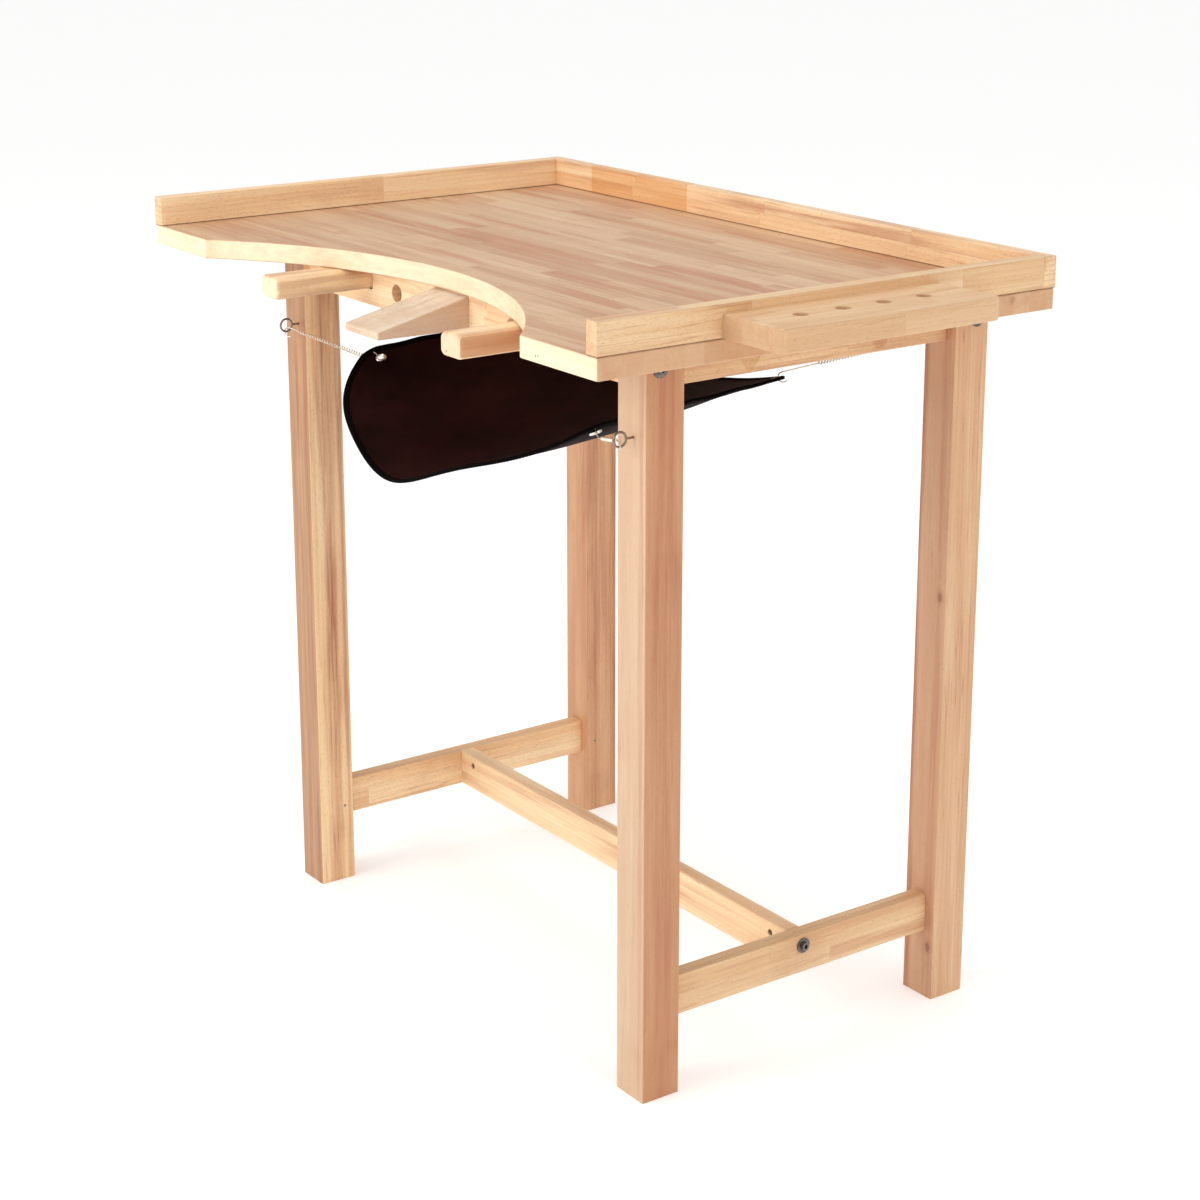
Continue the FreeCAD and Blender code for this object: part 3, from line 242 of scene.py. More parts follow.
# Rings: how far they drift, how finely the wave repeats, and how far they bend round a knot. A knot's
# distances along the grain count for less, which makes it long.
RING_DRIFT = (0.0, 0.028, 0.020)
RING_SCALE = 62.0
RING_BEND = 0.006
KNOT_SHORTENING = 0.62

# Half the change from one length to the next, where the painted shade above a seam ends and where it is
# full, the radius that edges seem rounded to, and the depth of the grain's relief.
BLOCK_EDGE = 0.0004
SEAM_SHADE_END = 0.0016
SEAM_SHADE_FULL = 0.0005
ARRIS = 0.0016
GRAIN_RELIEF = 0.00022

Strips = namedtuple("Strips", "axis width length finger")
Knot = namedtuple("Knot", "place radius")
Dent = namedtuple("Dent", "place radius")
Heart = namedtuple("Heart", "place radius share")
FlankToneAndShade = namedtuple("FlankToneAndShade", "axis tint share")
Block = namedtuple("Block", "start stop tint share")


class Timber(Shader):
    """Planed timber, one method for each thing that wood shows. wood() says what they are given."""

    def __init__(self, name, along, seed):
        super().__init__(name)
        self.along = along
        self.at = self.place()
        self.parts = dict(zip("xyz", self.separate(self.at)))
        self.run = self.parts[along]
        self.across = [self.parts[axis] for axis in "xyz" if axis != along]
        self.draws = random.Random(seed)
        self.offset = tuple(self.draws.uniform(-9, 9) for _ in range(3))

    def figure(self, stretch, **settings):
        """Noise that is drawn out along the grain."""
        return self.noise(self.vector("MULTIPLY", self.grain, stretch), **settings)

    def paint(self, share, tint, blend="MIX"):
        """Lays a tint over everything painted so far."""
        self.base = self.mix(share, self.base, tint, blend)

    def saw_whole(self):
        """A piece from one board: one tone, one warmth, no glue."""
        self.tone_pick = self.draws.uniform(0.25, 0.75)
        self.warm_pick = self.draws.uniform(0.2, 0.8)
        self.glue = 0.0
        self.shift = (0.0, 0.0, 0.0)

    def glue_up(self, strips):
        """Strips side by side, each of them blocks end to end, and every block from another board."""
        strip = self.math("MULTIPLY_ADD", self.parts[strips.axis], 1 / strips.width, self.offset[0])
        strip_number = self.math("FLOOR", strip)
        strip_start = self.separate(self.random(self.combine(strip_number, self.offset[1], 0.0)))[0]
        zigzag = self.math("PINGPONG", self.across[0], FINGER_HALF_PITCH)
        tooth = self.math("MULTIPLY", zigzag, strips.finger / FINGER_HALF_PITCH)
        block = self.math("ADD", self.math("MULTIPLY", self.math("ADD", self.run, tooth), 1 / strips.length),
                          self.math("MULTIPLY", strip_start, STRIP_STAGGER))
        cell = self.random(self.combine(strip_number, self.math("FLOOR", block), self.offset[2]))
        self.tone_pick, self.warm_pick, _ = self.separate(cell)
        side_lines = self.glue_line(strip, SIDE_GLUE_LINE / strips.width)
        end_lines = self.glue_line(block, END_GLUE_LINE / strips.length)
        self.glue = self.math("MAXIMUM", self.math("MULTIPLY", side_lines, 0.75), end_lines)
        self.shift = self.vector("MULTIPLY", cell, GRAIN_JUMP)

    def glue_line(self, count, line):
        """1 where a count of pieces passes a whole number, with the line as a share of a piece."""
        from_middle = self.math("ABSOLUTE", self.math("SUBTRACT", self.math("FRACT", count), 0.5))
        return self.span(from_middle, 0.5 - line, 0.5)

    def grow(self, knots):
        """The fields that the rest is painted with: grain, knots, rings, streaks, fibres and pores."""
        self.grain = self.vector("ADD", self.vector("ADD", self.combine(self.run, *self.across), self.offset),
                                 self.shift)
        self.knot_rim = self.knot_core = bend = 0.0
        shorter = tuple(KNOT_SHORTENING if axis == self.along else 1.0 for axis in "xyz")
        for centre, radius in knots:
            away = self.vector("SUBTRACT", self.at, centre)
            far = self.vector("LENGTH", self.vector("MULTIPLY", away, shorter))
            ruffle = self.math("MULTIPLY_ADD", self.noise(self.at, scale=420, detail=2), radius * 0.6, far)
            rim = self.span(ruffle, radius * 2.6, radius * 0.9)
            core = self.span(ruffle, radius * 1.35, radius * 0.75)
            self.knot_rim = self.math("MAXIMUM", self.knot_rim, rim)
            self.knot_core = self.math("MAXIMUM", self.knot_core, core)
            push = self.math("MULTIPLY", self.span(far, radius * 5, radius), RING_BEND)
            bend = self.math("ADD", bend, push)
        self.rings = self.year_rings(bend)
        self.streak = self.figure(STREAKS, detail=4, roughness=0.6)
        self.fibre = self.figure(FIBRES, detail=3, roughness=0.6)
        self.pores = self.span(self.figure(FLECKS, detail=1), 0.635, 0.70)

    def year_rings(self, bend):
        """Long rings that drift slowly and bend round the knots."""
        slow = self.figure(SLOW_DRIFT, detail=2)
        drift = self.vector("MULTIPLY", self.combine(0.0, slow, slow), RING_DRIFT)
        run, side, face = self.separate(self.vector("ADD", self.grain, drift))
        straight = self.combine(self.math("MULTIPLY", run, 0.03), self.math("PINGPONG", side, 0.060),
                                self.math("MULTIPLY_ADD", face, 0.8, 0.012))
        wave = self.node("ShaderNodeTexWave", wave_type="RINGS", rings_direction="X", wave_profile="SAW")
        self.fill(wave, Vector=self.vector("ADD", straight, self.combine(0.0, bend, bend)),
                  Scale=RING_SCALE, Distortion=1.6, Detail=2.0, Detail_Scale=0.6)
        return self.span(wave.outputs["Fac"], 0.35, 1.0)

    def paint_grain(self, tones, spread, streaks):
        """Tones from the grain, then red streaks, pale bands, fine lines, pores, glue and knots."""
        bands = self.figure(BANDS, detail=3, roughness=0.55)
        patch = self.figure(PATCHES, detail=2)
        tone = self.math("MULTIPLY_ADD", self.tone_pick, spread, 0.40 - spread / 2)
        tone = self.math("MULTIPLY_ADD", self.math("SUBTRACT", self.streak, 0.5), 0.50, tone)
        tone = self.math("MULTIPLY_ADD", self.rings, 0.13, tone)
        tone = self.math("MULTIPLY_ADD", self.math("SUBTRACT", self.fibre, 0.5), 0.20, tone, clamp=True)
        self.base = self.ramp(tone, list(zip(TONE_STOPS, tones)))
        red = self.math("MULTIPLY", self.span(bands, 0.45, 0.60), self.span(patch, 0.36, 0.60, 0.25, 1.0))
        red = self.math("MULTIPLY", red, self.span(self.warm_pick, 0.15, 0.85, 0.35, 1.0))
        self.paint(self.math("MULTIPLY", red, streaks), STREAK_RED)
        self.paint(self.math("MULTIPLY", self.span(bands, 0.47, 0.36), 0.45), tones[0])
        thin = self.near_middle(self.figure(FINE_LINES, detail=2, roughness=0.4), 0.022)
        self.paint(self.math("MULTIPLY", thin, self.span(patch, 0.40, 0.62, 0.08, 0.42)), LINE_BROWN)
        self.paint(self.math("MULTIPLY", self.pores, 0.42), PORE_BROWN)
        self.paint(self.math("MULTIPLY", self.glue, 0.30), GLUE_BROWN)
        self.paint(self.math("MULTIPLY", self.knot_rim, 0.45), KNOT_RIM)
        self.paint(self.math("MULTIPLY", self.knot_core, 0.92), KNOT_CORE)

    def paint_ends(self, ends):
        """End grain: darker, and its rings show."""
        self.end = self.facing(self.along, 0.75, 0.97)
        end_rings = self.math("MULTIPLY_ADD", self.rings, 0.22 * ends, 0.16 * ends)
        self.paint(self.math("MULTIPLY", self.end, end_rings), END_BROWN)

    def paint_flanks(self, flanks):
        # Tints faces turned across an axis: partly the other side of the grain that the cut shows, partly
        # painted light and shade for how those faces are lit.
        for axis, tint, share in flanks:
            patchy = self.span(self.streak, 0.3, 0.7, 1.0, 0.75)
            patchy = self.math("MULTIPLY", self.facing(axis, 0.6, 0.8), patchy)
            self.paint(self.math("MULTIPLY", patchy, share), tint)

    def paint_hearts(self, hearts):
        """Dark cords along the grain, which sway a little and have streaks of their own."""
        across_only = tuple(0.0 if axis == self.along else 1.0 for axis in "xyz")
        for centre, radius, share in hearts:
            off = self.vector("MULTIPLY", self.vector("SUBTRACT", self.at, centre), across_only)
            wander = self.math("SUBTRACT", self.figure(HEART_WANDER, detail=3), 0.5)
            far = self.math("MULTIPLY_ADD", wander, radius * 2.4, self.vector("LENGTH", off))
            core = self.math("MULTIPLY", self.span(far, radius, radius * 0.25),
                             self.span(self.streak, 0.30, 0.62, 1.0, 0.35))
            self.paint(self.math("MULTIPLY", core, share), HEART_BROWN)

    def paint_blocks(self, blocks):
        for start, stop, tint, share in blocks:
            inside = self.math("MULTIPLY", self.span(self.run, start - BLOCK_EDGE, start + BLOCK_EDGE),
                               self.span(self.run, stop + BLOCK_EDGE, stop - BLOCK_EDGE))
            self.paint(self.math("MULTIPLY", inside, share), tint, "MULTIPLY")

    def paint_seam_shade(self, seam):
        # Painted shade: a thin dark line just above the seam, where the parts meet.
        seam_shade = self.span(self.parts["z"], seam + SEAM_SHADE_END, seam + SEAM_SHADE_FULL)
        self.paint(self.math("MULTIPLY", seam_shade, 0.8), SEAM_SHADE_BROWN)

    def paint_dents(self, dents):
        for centre, radius in dents:
            far = self.vector("LENGTH", self.vector("SUBTRACT", self.at, centre))
            far = self.math("MULTIPLY_ADD", self.noise(self.at, scale=900, detail=1), radius * 0.5, far)
            self.paint(self.span(far, radius * 1.3, radius * 0.7, 0.0, 0.85), DENT_BROWN)

    def paint_edge_highlight_and_rub(self):
        """Painted highlight along the edges, and broad rubbed places."""
        edge, self.rounded = self.soft_edge(ARRIS)
        uneven = self.span(self.noise(self.at, scale=60, detail=3), 0.35, 0.65, 0.25, 0.6)
        # Painted highlight: edges lightened as if they caught the light.
        self.paint(self.math("MULTIPLY", edge, uneven), EDGE_HIGHLIGHT)
        self.rub = self.noise(self.at, scale=7.0, detail=4)
        self.paint(self.span(self.rub, 0.55, 0.75, 0.0, 0.16), RUBBED, "MULTIPLY")

    def varnish(self):
        """Satin finish: duller on fibres, rubbed places and end grain, sunk at pores, glue and knots."""
        rough = self.math("MULTIPLY_ADD", self.fibre, 0.18, 0.40)
        rough = self.math("MULTIPLY_ADD", self.span(self.rub, 0.4, 0.7), 0.08, rough)
        rough = self.math("MULTIPLY_ADD", self.end, 0.14, rough, clamp=True)
        height = self.math("MULTIPLY_ADD", self.pores, -0.8, self.fibre)
        height = self.math("MULTIPLY_ADD", self.rings, 0.35, height)
        height = self.math("MULTIPLY_ADD", self.glue, -0.9, height)
        height = self.math("MULTIPLY_ADD", self.knot_core, -1.5, height)
        normal = self.bump(height, GRAIN_RELIEF, 0.55, self.rounded)
        return self.finish(self.base, rough, normal, IOR=1.46, Specular_IOR_Level=0.42, Coat_Weight=0.08,
                           Coat_Roughness=0.32)


def wood(name, along, tones, seed, strips=None, knots=(), streaks=0.5, flanks=(), spread=0.5, ends=1.0,
         dents=(), hearts=(), blocks=(), seam=None):
    """Planed timber under a satin finish, with its grain along x, y or z.

    strips is how the piece is glued up, if it is; streaks is how strongly red-brown streaks show;
    the flank tints are for the faces across an axis: partly another side of the grain that the cut
    shows, partly painted light and shade for how those faces are lit; spread is how far strips differ
    in tone, and ends how much darker end grain is; hearts are dark heartwood that runs along the grain,
    blocks are lengths that differ, and seam is the height of a joint below, with a line of painted
    shade above it."""
    board = Timber(name, along, seed)
    if strips:
        board.glue_up(strips)
    else:
        board.saw_whole()
    board.grow(knots)
    board.paint_grain(tones, spread, streaks)
    board.paint_ends(ends)
    board.paint_flanks(flanks)
    board.paint_hearts(hearts)
    board.paint_blocks(blocks)
    if seam is not None:
        board.paint_seam_shade(seam)
    board.paint_dents(dents)
    board.paint_edge_highlight_and_rub()
    return board.varnish()


# ---------------------------------------------------------------- metal, leather and paper

STAIN = colour(96, 74, 52)
# Faces turned downward: partly the leather's darker flesh side, partly painted shade.
UNDERSIDE_TONE_AND_SHADE = colour(12, 8, 8)
METAL_RELIEF = 0.00004
LEATHER_RELIEF = 0.00016
PAPER_RELIEF = 0.0002
FLOOR_GLOW = 0.30


def metal(name, tone, dull, rough, wear=0.5):
    """Plated or bare metal: fine drawing lines, small stains and uneven gloss."""
    s = Shader(name)
    place = s.place()
    cloud = s.noise(place, scale=190, detail=4, roughness=0.6)
    fine = s.noise(s.vector("MULTIPLY", place, (2600, 900, 2600)), detail=2)
    spots = s.span(s.noise(place, scale=900, detail=3), 0.60, 0.72)
    base = s.mix(s.span(cloud, 0.35, 0.7), (*tone, 1), (*dull, 1))
    base = s.mix(s.math("MULTIPLY", spots, wear * 0.5), base, STAIN)
    gloss = s.math("MULTIPLY_ADD", cloud, 0.22, rough - 0.08)
    gloss = s.math("MULTIPLY_ADD", spots, 0.2 * wear, gloss, clamp=True)
    height = s.math("MULTIPLY_ADD", spots, -0.5, fine)
    return s.finish(base, gloss, s.bump(height, METAL_RELIEF, 0.5), Metallic=1.0)


def leather(name, tone, deep, worn, rough, pebble, shine):
    """Smooth side leather: pebbled grain, fine creases, tone that drifts, a rubbed bloom, and painted shade
    on faces turned downward.
    """
    s = Shader(name)
    place = s.place()
    warp = s.noise(place, scale=90, detail=2)
    warped = s.vector("ADD", place, s.vector("MULTIPLY", s.combine(warp, warp, warp), (0.0015,) * 3))
    large = s.span(s.cell_edges(warped, pebble), 0.0, 0.16)
    small = s.span(s.cell_edges(warped, pebble * 2.3), 0.0, 0.22)
    grain = s.math("MULTIPLY_ADD", small, 0.4, large)
    crease = s.noise(s.vector("MULTIPLY", place, (70, 30, 50)), detail=5, roughness=0.65, distortion=0.8)
    folds = s.span(s.math("ABSOLUTE", s.math("SUBTRACT", crease, 0.5)), 0.0, 0.035)
    drift = s.noise(place, scale=9, detail=4, roughness=0.6)
    fuzz = s.noise(place, scale=1400, detail=2)
    base = s.mix(s.span(drift, 0.3, 0.7), deep, tone)
    base = s.mix(s.math("MULTIPLY", s.math("SUBTRACT", 1.0, grain, clamp=True), 0.45), base, deep)
    rubbed = s.math("MULTIPLY", s.span(drift, 0.52, 0.76), s.span(fuzz, 0.4, 0.7))
    base = s.mix(s.math("MULTIPLY", rubbed, 0.30), base, worn)
    # Faces turned downward darken: partly the leather's darker flesh side, partly painted shade against the
    # floor's light from below.
    upward = s.separate(s.flat_normal())[2]
    base = s.mix(s.span(upward, 0.05, -0.12, 0.0, 0.75), base, UNDERSIDE_TONE_AND_SHADE)
    gloss = s.math("MULTIPLY_ADD", drift, 0.16, rough - 0.08)
    gloss = s.math("MULTIPLY_ADD", fuzz, 0.08, gloss, clamp=True)
    height = s.math("MULTIPLY_ADD", folds, 0.6, grain)
    return s.finish(base, gloss, s.bump(height, LEATHER_RELIEF, 0.6), IOR=1.45, Specular_IOR_Level=shine)


def plain_floor():
    """Pale paper that glows a little, so that it joins the white background."""
    s = Shader("floor_paper")
    place = s.place()
    mottle = s.noise(place, scale=3.0, detail=3)
    base = s.mix(mottle, (0.94, 0.94, 0.935, 1.0), (0.955, 0.955, 0.95, 1.0))
    return s.finish(base, 0.9, s.bump(s.noise(place, scale=260, detail=2), PAPER_RELIEF, 0.2),
                    Specular_IOR_Level=0.1, Emission_Color=WHITE, Emission_Strength=FLOOR_GLOW)


# ---------------------------------------------------------------- materials on the CAD nodes

def dress(node, material):
    """Gives a CAD node its material in every slot."""
    slots = NODES[node].material_slots
    if not slots:
        NODES[node].data.materials.append(material)
    for slot in slots:
        slot.material = material


def dress_board(node, along, tones, seed, name=None, **shown):
    """Gives a CAD node its own wood. name stands for the node's in the material's name."""
    dress(node, wood((name or node) + "_wood", along, tones, seed, **shown))


def dress_top_and_fences():
    dress_board("bench_top", "x", PINK_WOOD, 11, name="top", strips=Strips("y", 0.025, 0.30, 0.007),
                streaks=0.7, spread=0.55, ends=0.0,
                knots=[Knot((TOP_RIGHT, 0.245, 0.8786), 0.0056)],
                dents=[Dent((0.327, FRONT_Y, 0.8685), 0.0014), Dent((0.331, FRONT_Y, 0.8690), 0.0012)],
                # The bright front edge and the darker right edge are partly painted light and painted shade.
                flanks=[FlankToneAndShade("y", colour(255, 236, 200), 0.95), FlankToneAndShade("x", colour(212, 166, 124), 0.75)])
    dress_board("fence_left", "y", FENCE_WOOD, 12, strips=Strips("z", 0.060, 0.33, 0.006), streaks=0.6,
                spread=0.25, seam=TOP_FACE)
    dress_board("fence_right", "y", LIGHT_WOOD, 13, strips=Strips("z", 0.060, 0.29, 0.006), spread=0.3,
                ends=0.0, seam=TOP_FACE)
    dress_board("fence_back", "x", FENCE_WOOD, 14, strips=Strips("z", 0.060, 0.27, 0.006), streaks=0.6,
                spread=0.4, seam=TOP_FACE, blocks=[Block(-0.424, -0.211, colour(246, 226, 204), 1.0)])


def dress_legs():
    dress_board("leg_front_left", "z", FENCE_WOOD, 21, flanks=[FlankToneAndShade("y", colour(160, 110, 75), 0.9)],
                hearts=[Heart((LEFT_LEG_INNER, -0.155, 0), 0.018, 0.95),
                        Heart((-0.384, -0.136, 0), 0.007, 0.8),
                        Heart((-0.410, FRONT_LEG_FACE, 0), 0.004, 0.7),
                        Heart((-0.389, FRONT_LEG_FACE, 0), 0.005, 0.7)])
    dress_board("leg_front_right", "z", LEG_WOOD, 22, streaks=0.6,
                flanks=[FlankToneAndShade("x", colour(192, 130, 90), 0.75), FlankToneAndShade("y", colour(208, 180, 152), 0.6)],
                hearts=[Heart((LEG_OUTER, -0.152, 0), 0.020, 0.45),
                        Heart((0.330, FRONT_LEG_FACE, 0), 0.005, 0.4)])
    dress_board("leg_back_left", "z", RED_WOOD, 23, streaks=0.9,
                hearts=[Heart((LEFT_LEG_INNER, BACK_LEG_REAR, 0), 0.016, 0.8),
                        Heart((LEFT_LEG_INNER, 0.268, 0), 0.006, 0.5)])
    dress_board("leg_back_right", "z", LEG_WOOD, 24, streaks=0.6,
                flanks=[FlankToneAndShade("y", colour(190, 140, 114), 0.55)],
                knots=[Knot((0.3275, 0.2545, 0.509), 0.0048), Knot((0.3285, 0.2545, 0.066), 0.0048)],
                hearts=[Heart((LEG_INNER, BACK_LEG_FACE, 0), 0.010, 0.85),
                        Heart((0.326, BACK_LEG_FACE, 0), 0.007, 0.4)])


def dress_rails():
    rail_strips = Strips("z", 0.024, 0.42, 0.006)
    dress_board("stretcher_left", "y", FENCE_WOOD, 31, strips=rail_strips, spread=0.3)
    dress_board("stretcher_right", "y", LIGHT_WOOD, 32, strips=rail_strips, spread=0.3)
    dress_board("stretcher_long", "x", FENCE_WOOD, 33, streaks=0.6)
    dress_board("side_rail_left", "y", LIGHT_WOOD, 34, strips=rail_strips)
    dress_board("side_rail_right", "y", LIGHT_WOOD, 35, strips=rail_strips)
    dress_board("front_rail", "x", FENCE_WOOD, 36, strips=rail_strips, spread=0.3)
    dress_board("back_rail", "x", LIGHT_WOOD, 37, strips=rail_strips)


def dress_fittings():
    dress_board("bench_pin", "y", PALE_WOOD, 41, name="pin", streaks=0.3, ends=0.2,
                flanks=[FlankToneAndShade("x", colour(204, 154, 120), 0.55)])
    dress_board("arm_rest_left", "y", FENCE_WOOD, 42, name="arm_left", streaks=0.6, ends=0.0,
                flanks=[FlankToneAndShade("y", colour(255, 232, 200), 0.8)])
    dress_board("arm_rest_right", "y", FENCE_WOOD, 43, name="arm_right", streaks=0.8, ends=0.0,
                dents=[Dent((0.1464, -0.302, 0.8403), 0.0013)],
                flanks=[FlankToneAndShade("x", colour(196, 132, 90), 0.9), FlankToneAndShade("y", colour(240, 212, 180), 0.9)])
    dress_board("tool_holder", "y", LIGHT_WOOD, 44, name="holder", strips=Strips("x", 0.048, 0.21, 0.006),
                spread=0.3, ends=0.2,
                flanks=[FlankToneAndShade("x", colour(210, 166, 126), 0.6), FlankToneAndShade("y", colour(196, 156, 120), 0.7)])
    dowel = wood("dowel_wood", "z", LIGHT_WOOD, 45)
    for node in ("arm_stop_peg_left", "arm_stop_peg_right"):
        dress(node, dowel)


def dress_metal():
    zinc = metal("zinc_plate", (0.25, 0.23, 0.21), (0.13, 0.12, 0.11), 0.46, wear=0.8)
    nickel = metal("nickel", (0.80, 0.77, 0.72), (0.62, 0.58, 0.52), 0.24)
    # The eyes' reddish-brown tone is a painted reflection of the wood around them.
    eye = metal("eye_steel", (0.34, 0.28, 0.23), (0.17, 0.13, 0.11), 0.32, wear=0.8)
    dark = metal("fastener_steel", (0.40, 0.38, 0.36), (0.26, 0.24, 0.22), 0.38, wear=0.8)
    for node in ("stretcher_bolts", "stretcher_washers", "rail_bolts", "rail_washers",
                 "stretcher_barrel_nuts", "rail_barrel_nuts"):
        dress(node, zinc)
    for node in ("fence_screws", "top_screws", "holder_screws", "tenon_pins"):
        dress(node, dark)
    dress("skin_grommets", nickel)
    dress("screw_eyes", eye)


# ---------------------------------------------------------------- the skin's surface

# Half the skin's width between its corners, and how far those hang behind the worktop's front edge and
# below its underside.
HALF_WIDTH = 0.241
FRONT_SETBACK = 0.164
FRONT_DROP = 0.115
REAR_SETBACK = 0.443
REAR_DROP = 0.096

# How far the front edge bulges forward and sags, the rear edge sags, and the middle hangs lower still.
FRONT_BULGE = 0.117
FRONT_SAG = 0.095
REAR_SAG = 0.034
BELLY = 0.016

# Half the arc that the front edge follows in plan, the leather's thickness, and its corners' radius.
EDGE_TURN = math.radians(77)
THICKNESS = 0.0022
CORNER_RADIUS = 0.016

PLAN_ROUNDS = 30


def front_fullness(across):
    """How far the front edge has left its corners' line: 0 at the corners, 1 in the middle."""
    return (math.cos(EDGE_TURN * across) - math.cos(EDGE_TURN)) / (1 - math.cos(EDGE_TURN))


def front_hang(across):
    """How far the front edge sags below its corners."""
    full = front_fullness(across)
    return FRONT_SAG * (0.7 * full + 0.3 * full ** 12)


def skin_front(across):
    x = HALF_WIDTH * math.sin(EDGE_TURN * across) / math.sin(EDGE_TURN)
    y = FRONT_Y + FRONT_SETBACK - FRONT_BULGE * front_fullness(across)
    return Vector((MIDDLE_X + x, y, UNDERSIDE - FRONT_DROP - front_hang(across)))


def skin_rear(across):
    drop = REAR_DROP + REAR_SAG * (1 - across ** 2)
    return Vector((MIDDLE_X + HALF_WIDTH * across, FRONT_Y + REAR_SETBACK, UNDERSIDE - drop))


def skin_point(across, back):
    """The CAD skin's upper face: across runs from -1 at the left to 1, back from 0 at the front to 1."""
    belly = BELLY * 4 * back * (1 - back) * (1 - across ** 2)
    return skin_front(across) * (1 - back) + skin_rear(across) * back - Vector((0, 0, belly))


def skin_place(x, y, across, back):
    """Point and upward normal of the skin's upper face above a place in plan, from a first guess."""
    for _ in range(PLAN_ROUNDS):
        here = skin_point(across, back)
        across += (x - here.x) / HALF_WIDTH
        back += (y - here.y) / (REAR_SETBACK - FRONT_SETBACK)
    step = 0.01
    along_x = skin_point(across + step, back) - skin_point(across - step, back)
    along_y = skin_point(across, back + step) - skin_point(across, back - step)
    return skin_point(across, back), along_x.cross(along_y).normalized()


def across_to(direction, normal):
    """The part of a direction that lies square to a normal, as a unit vector."""
    return (direction - normal * direction.dot(normal)).normalized()


def rounded(across, back):
    """Rounds the sheet's four corners in its own across and back numbers."""
    reach_across, reach_back = CORNER_RADIUS / HALF_WIDTH, CORNER_RADIUS / (REAR_SETBACK - FRONT_SETBACK)
    s = (abs(across) - (1 - reach_across)) / reach_across
    t = (abs(back - 0.5) - (0.5 - reach_back)) / reach_back
    if s <= 0 or t <= 0:
        return across, back
    new_s, new_t = s * math.sqrt(1 - t * t / 2), t * math.sqrt(1 - s * s / 2)
    return (math.copysign(1 - reach_across + reach_across * new_s, across),
            0.5 + math.copysign(0.5 - reach_back + reach_back * new_t, back - 0.5))


def slack(across, back):
    """Small waves that leather keeps: pulls that fan out from the corners, and a soft roll."""
    edge = 1 - min(1, (1 - abs(across)) * 2.2)
    pull = math.sin(9 * back * math.pi) * 0.0008 * edge * back * (1 - back) * 4
    roll = math.sin(across * 7.1 + back * 2.3) * 0.0009 + math.sin(across * 3.3 - back * 6.1) * 0.0011
    return pull + roll * (1 - across ** 2) * (0.35 + 0.65 * back) * (1 - back ** 4)


def sheet_point(across, back):
    """The visual skin's upper face: the CAD skin's, with rounded corners and small waves."""
    across, back = rounded(across, back)
    return skin_point(across, back) + Vector((0, 0, slack(across, back)))


# ---------------------------------------------------------------- meshes

def ring(centre, first_spoke, second_spoke, radius, sides):
    """Points round a centre, from the first spoke toward the second."""
    turns = [2 * math.pi * i / sides for i in range(sides)]
    return [centre + (first_spoke * math.cos(turn) + second_spoke * math.sin(turn)) * radius
            for turn in turns]


def tube_faces(first, rings, sides):
    """The side of a tube whose rings of points are kept one after another from number first on."""
    return [(first + k * sides + i, first + k * sides + (i + 1) % sides,
             first + (k + 1) * sides + (i + 1) % sides, first + (k + 1) * sides + i)
            for k in range(rings - 1) for i in range(sides)]


def sheet_faces(rows, columns, closed=False):
    """A grid of points kept row by row. closed joins the last row to the first."""
    def number(row, column):
        return row % rows * columns + column
    return [(number(i, j), number(i + 1, j), number(i + 1, j + 1), number(i, j + 1))
            for i in range(rows if closed else rows - 1) for j in range(columns - 1)]


def mesh_object(name, vertices, faces, material, smooth=True):
    mesh = bpy.data.meshes.new(name)
    mesh.from_pydata([tuple(v) for v in vertices], [], faces)
    mesh.validate()
    mesh.update()
    if smooth:
        mesh.shade_smooth()
    made = bpy.data.objects.new(name, mesh)
    bpy.context.scene.collection.objects.link(made)
    made.data.materials.append(material)
    return made


def bake_modifiers(piece):
    """Replaces a piece's mesh by what its modifiers make of it."""
    graph = bpy.context.evaluated_depsgraph_get()
    made = bpy.data.meshes.new_from_object(piece.evaluated_get(graph))
    piece.modifiers.clear()
    piece.data = made


# ---------------------------------------------------------------- skin, hem and stitches

# Steps of the sheet across and back, and of its rim along the front or rear edge and along a side.
SHEET_STEPS = (90, 52)
RIM_STEPS = (150, 90)

# How strongly the sheet's steps crowd toward its edges, from 0 for even steps.
CROWDING = 0.35

# The screw eyes: their rings, how far these stand off the legs' front faces, how far they lie beyond the
# legs' inner faces (at the front left and right, and at the rear) and below the worktop.
EYE_RADIUS = 0.008
EYE_STANDOFF = 0.0175
FRONT_EYE_INSETS = {-1: 0.018, 1: 0.028}
REAR_EYE_INSET = 0.0075
FRONT_EYE_DROP = 0.098
REAR_EYE_DROP = 0.039

# How far the grommets' centres lie in from the sheet's corners, and below its upper face.
GROMMET_INSET = 0.012
GROMMET_DEPTH = 0.0012

# The round tools that cut the grommets' holes: radius, sides, and reach above and below the leather.
HOLE_RADIUS = 0.0062
HOLE_SIDES = 40
HOLE_REACH = 0.012

# The hem's section: distance in from the rim, and height above the sheet's upper face.
HEM_WIDTH = 0.0068
HEM_PROFILE = (
    (HEM_WIDTH, 0.0003), (HEM_WIDTH - 0.0004, 0.00075), (0.0045, 0.00085), (0.0020, 0.00090),
    (0.0004, 0.00075), (-0.0005, 0.0), (-0.0007, -0.0011), (-0.0005, -0.0022),
    (0.0004, -0.0030), (0.0020, -0.0031), (0.0045, -0.00305), (HEM_WIDTH - 0.0004, -0.00295),
    (HEM_WIDTH, -0.0025),
)

STITCH_PITCH = 0.0040
STITCH_LENGTH = 0.0030
STITCH_INSET = 0.0050
STITCH_SIDES = 6
THREAD_RADIUS = 0.00030

# Where a stitch is along its length, how far it stands out there, and its share of the full thickness.
STITCH_PROFILE = ((-0.5, -0.0002, 0.3), (-0.3, 0.0001, 1.0), (0.3, 0.0001, 1.0), (0.5, -0.0002, 0.3))

# The height of the hem's two faces over the sheet's upper face, and the way each of them looks.
HEM_FACES = ((0.00085, 1), (-0.00305, -1))


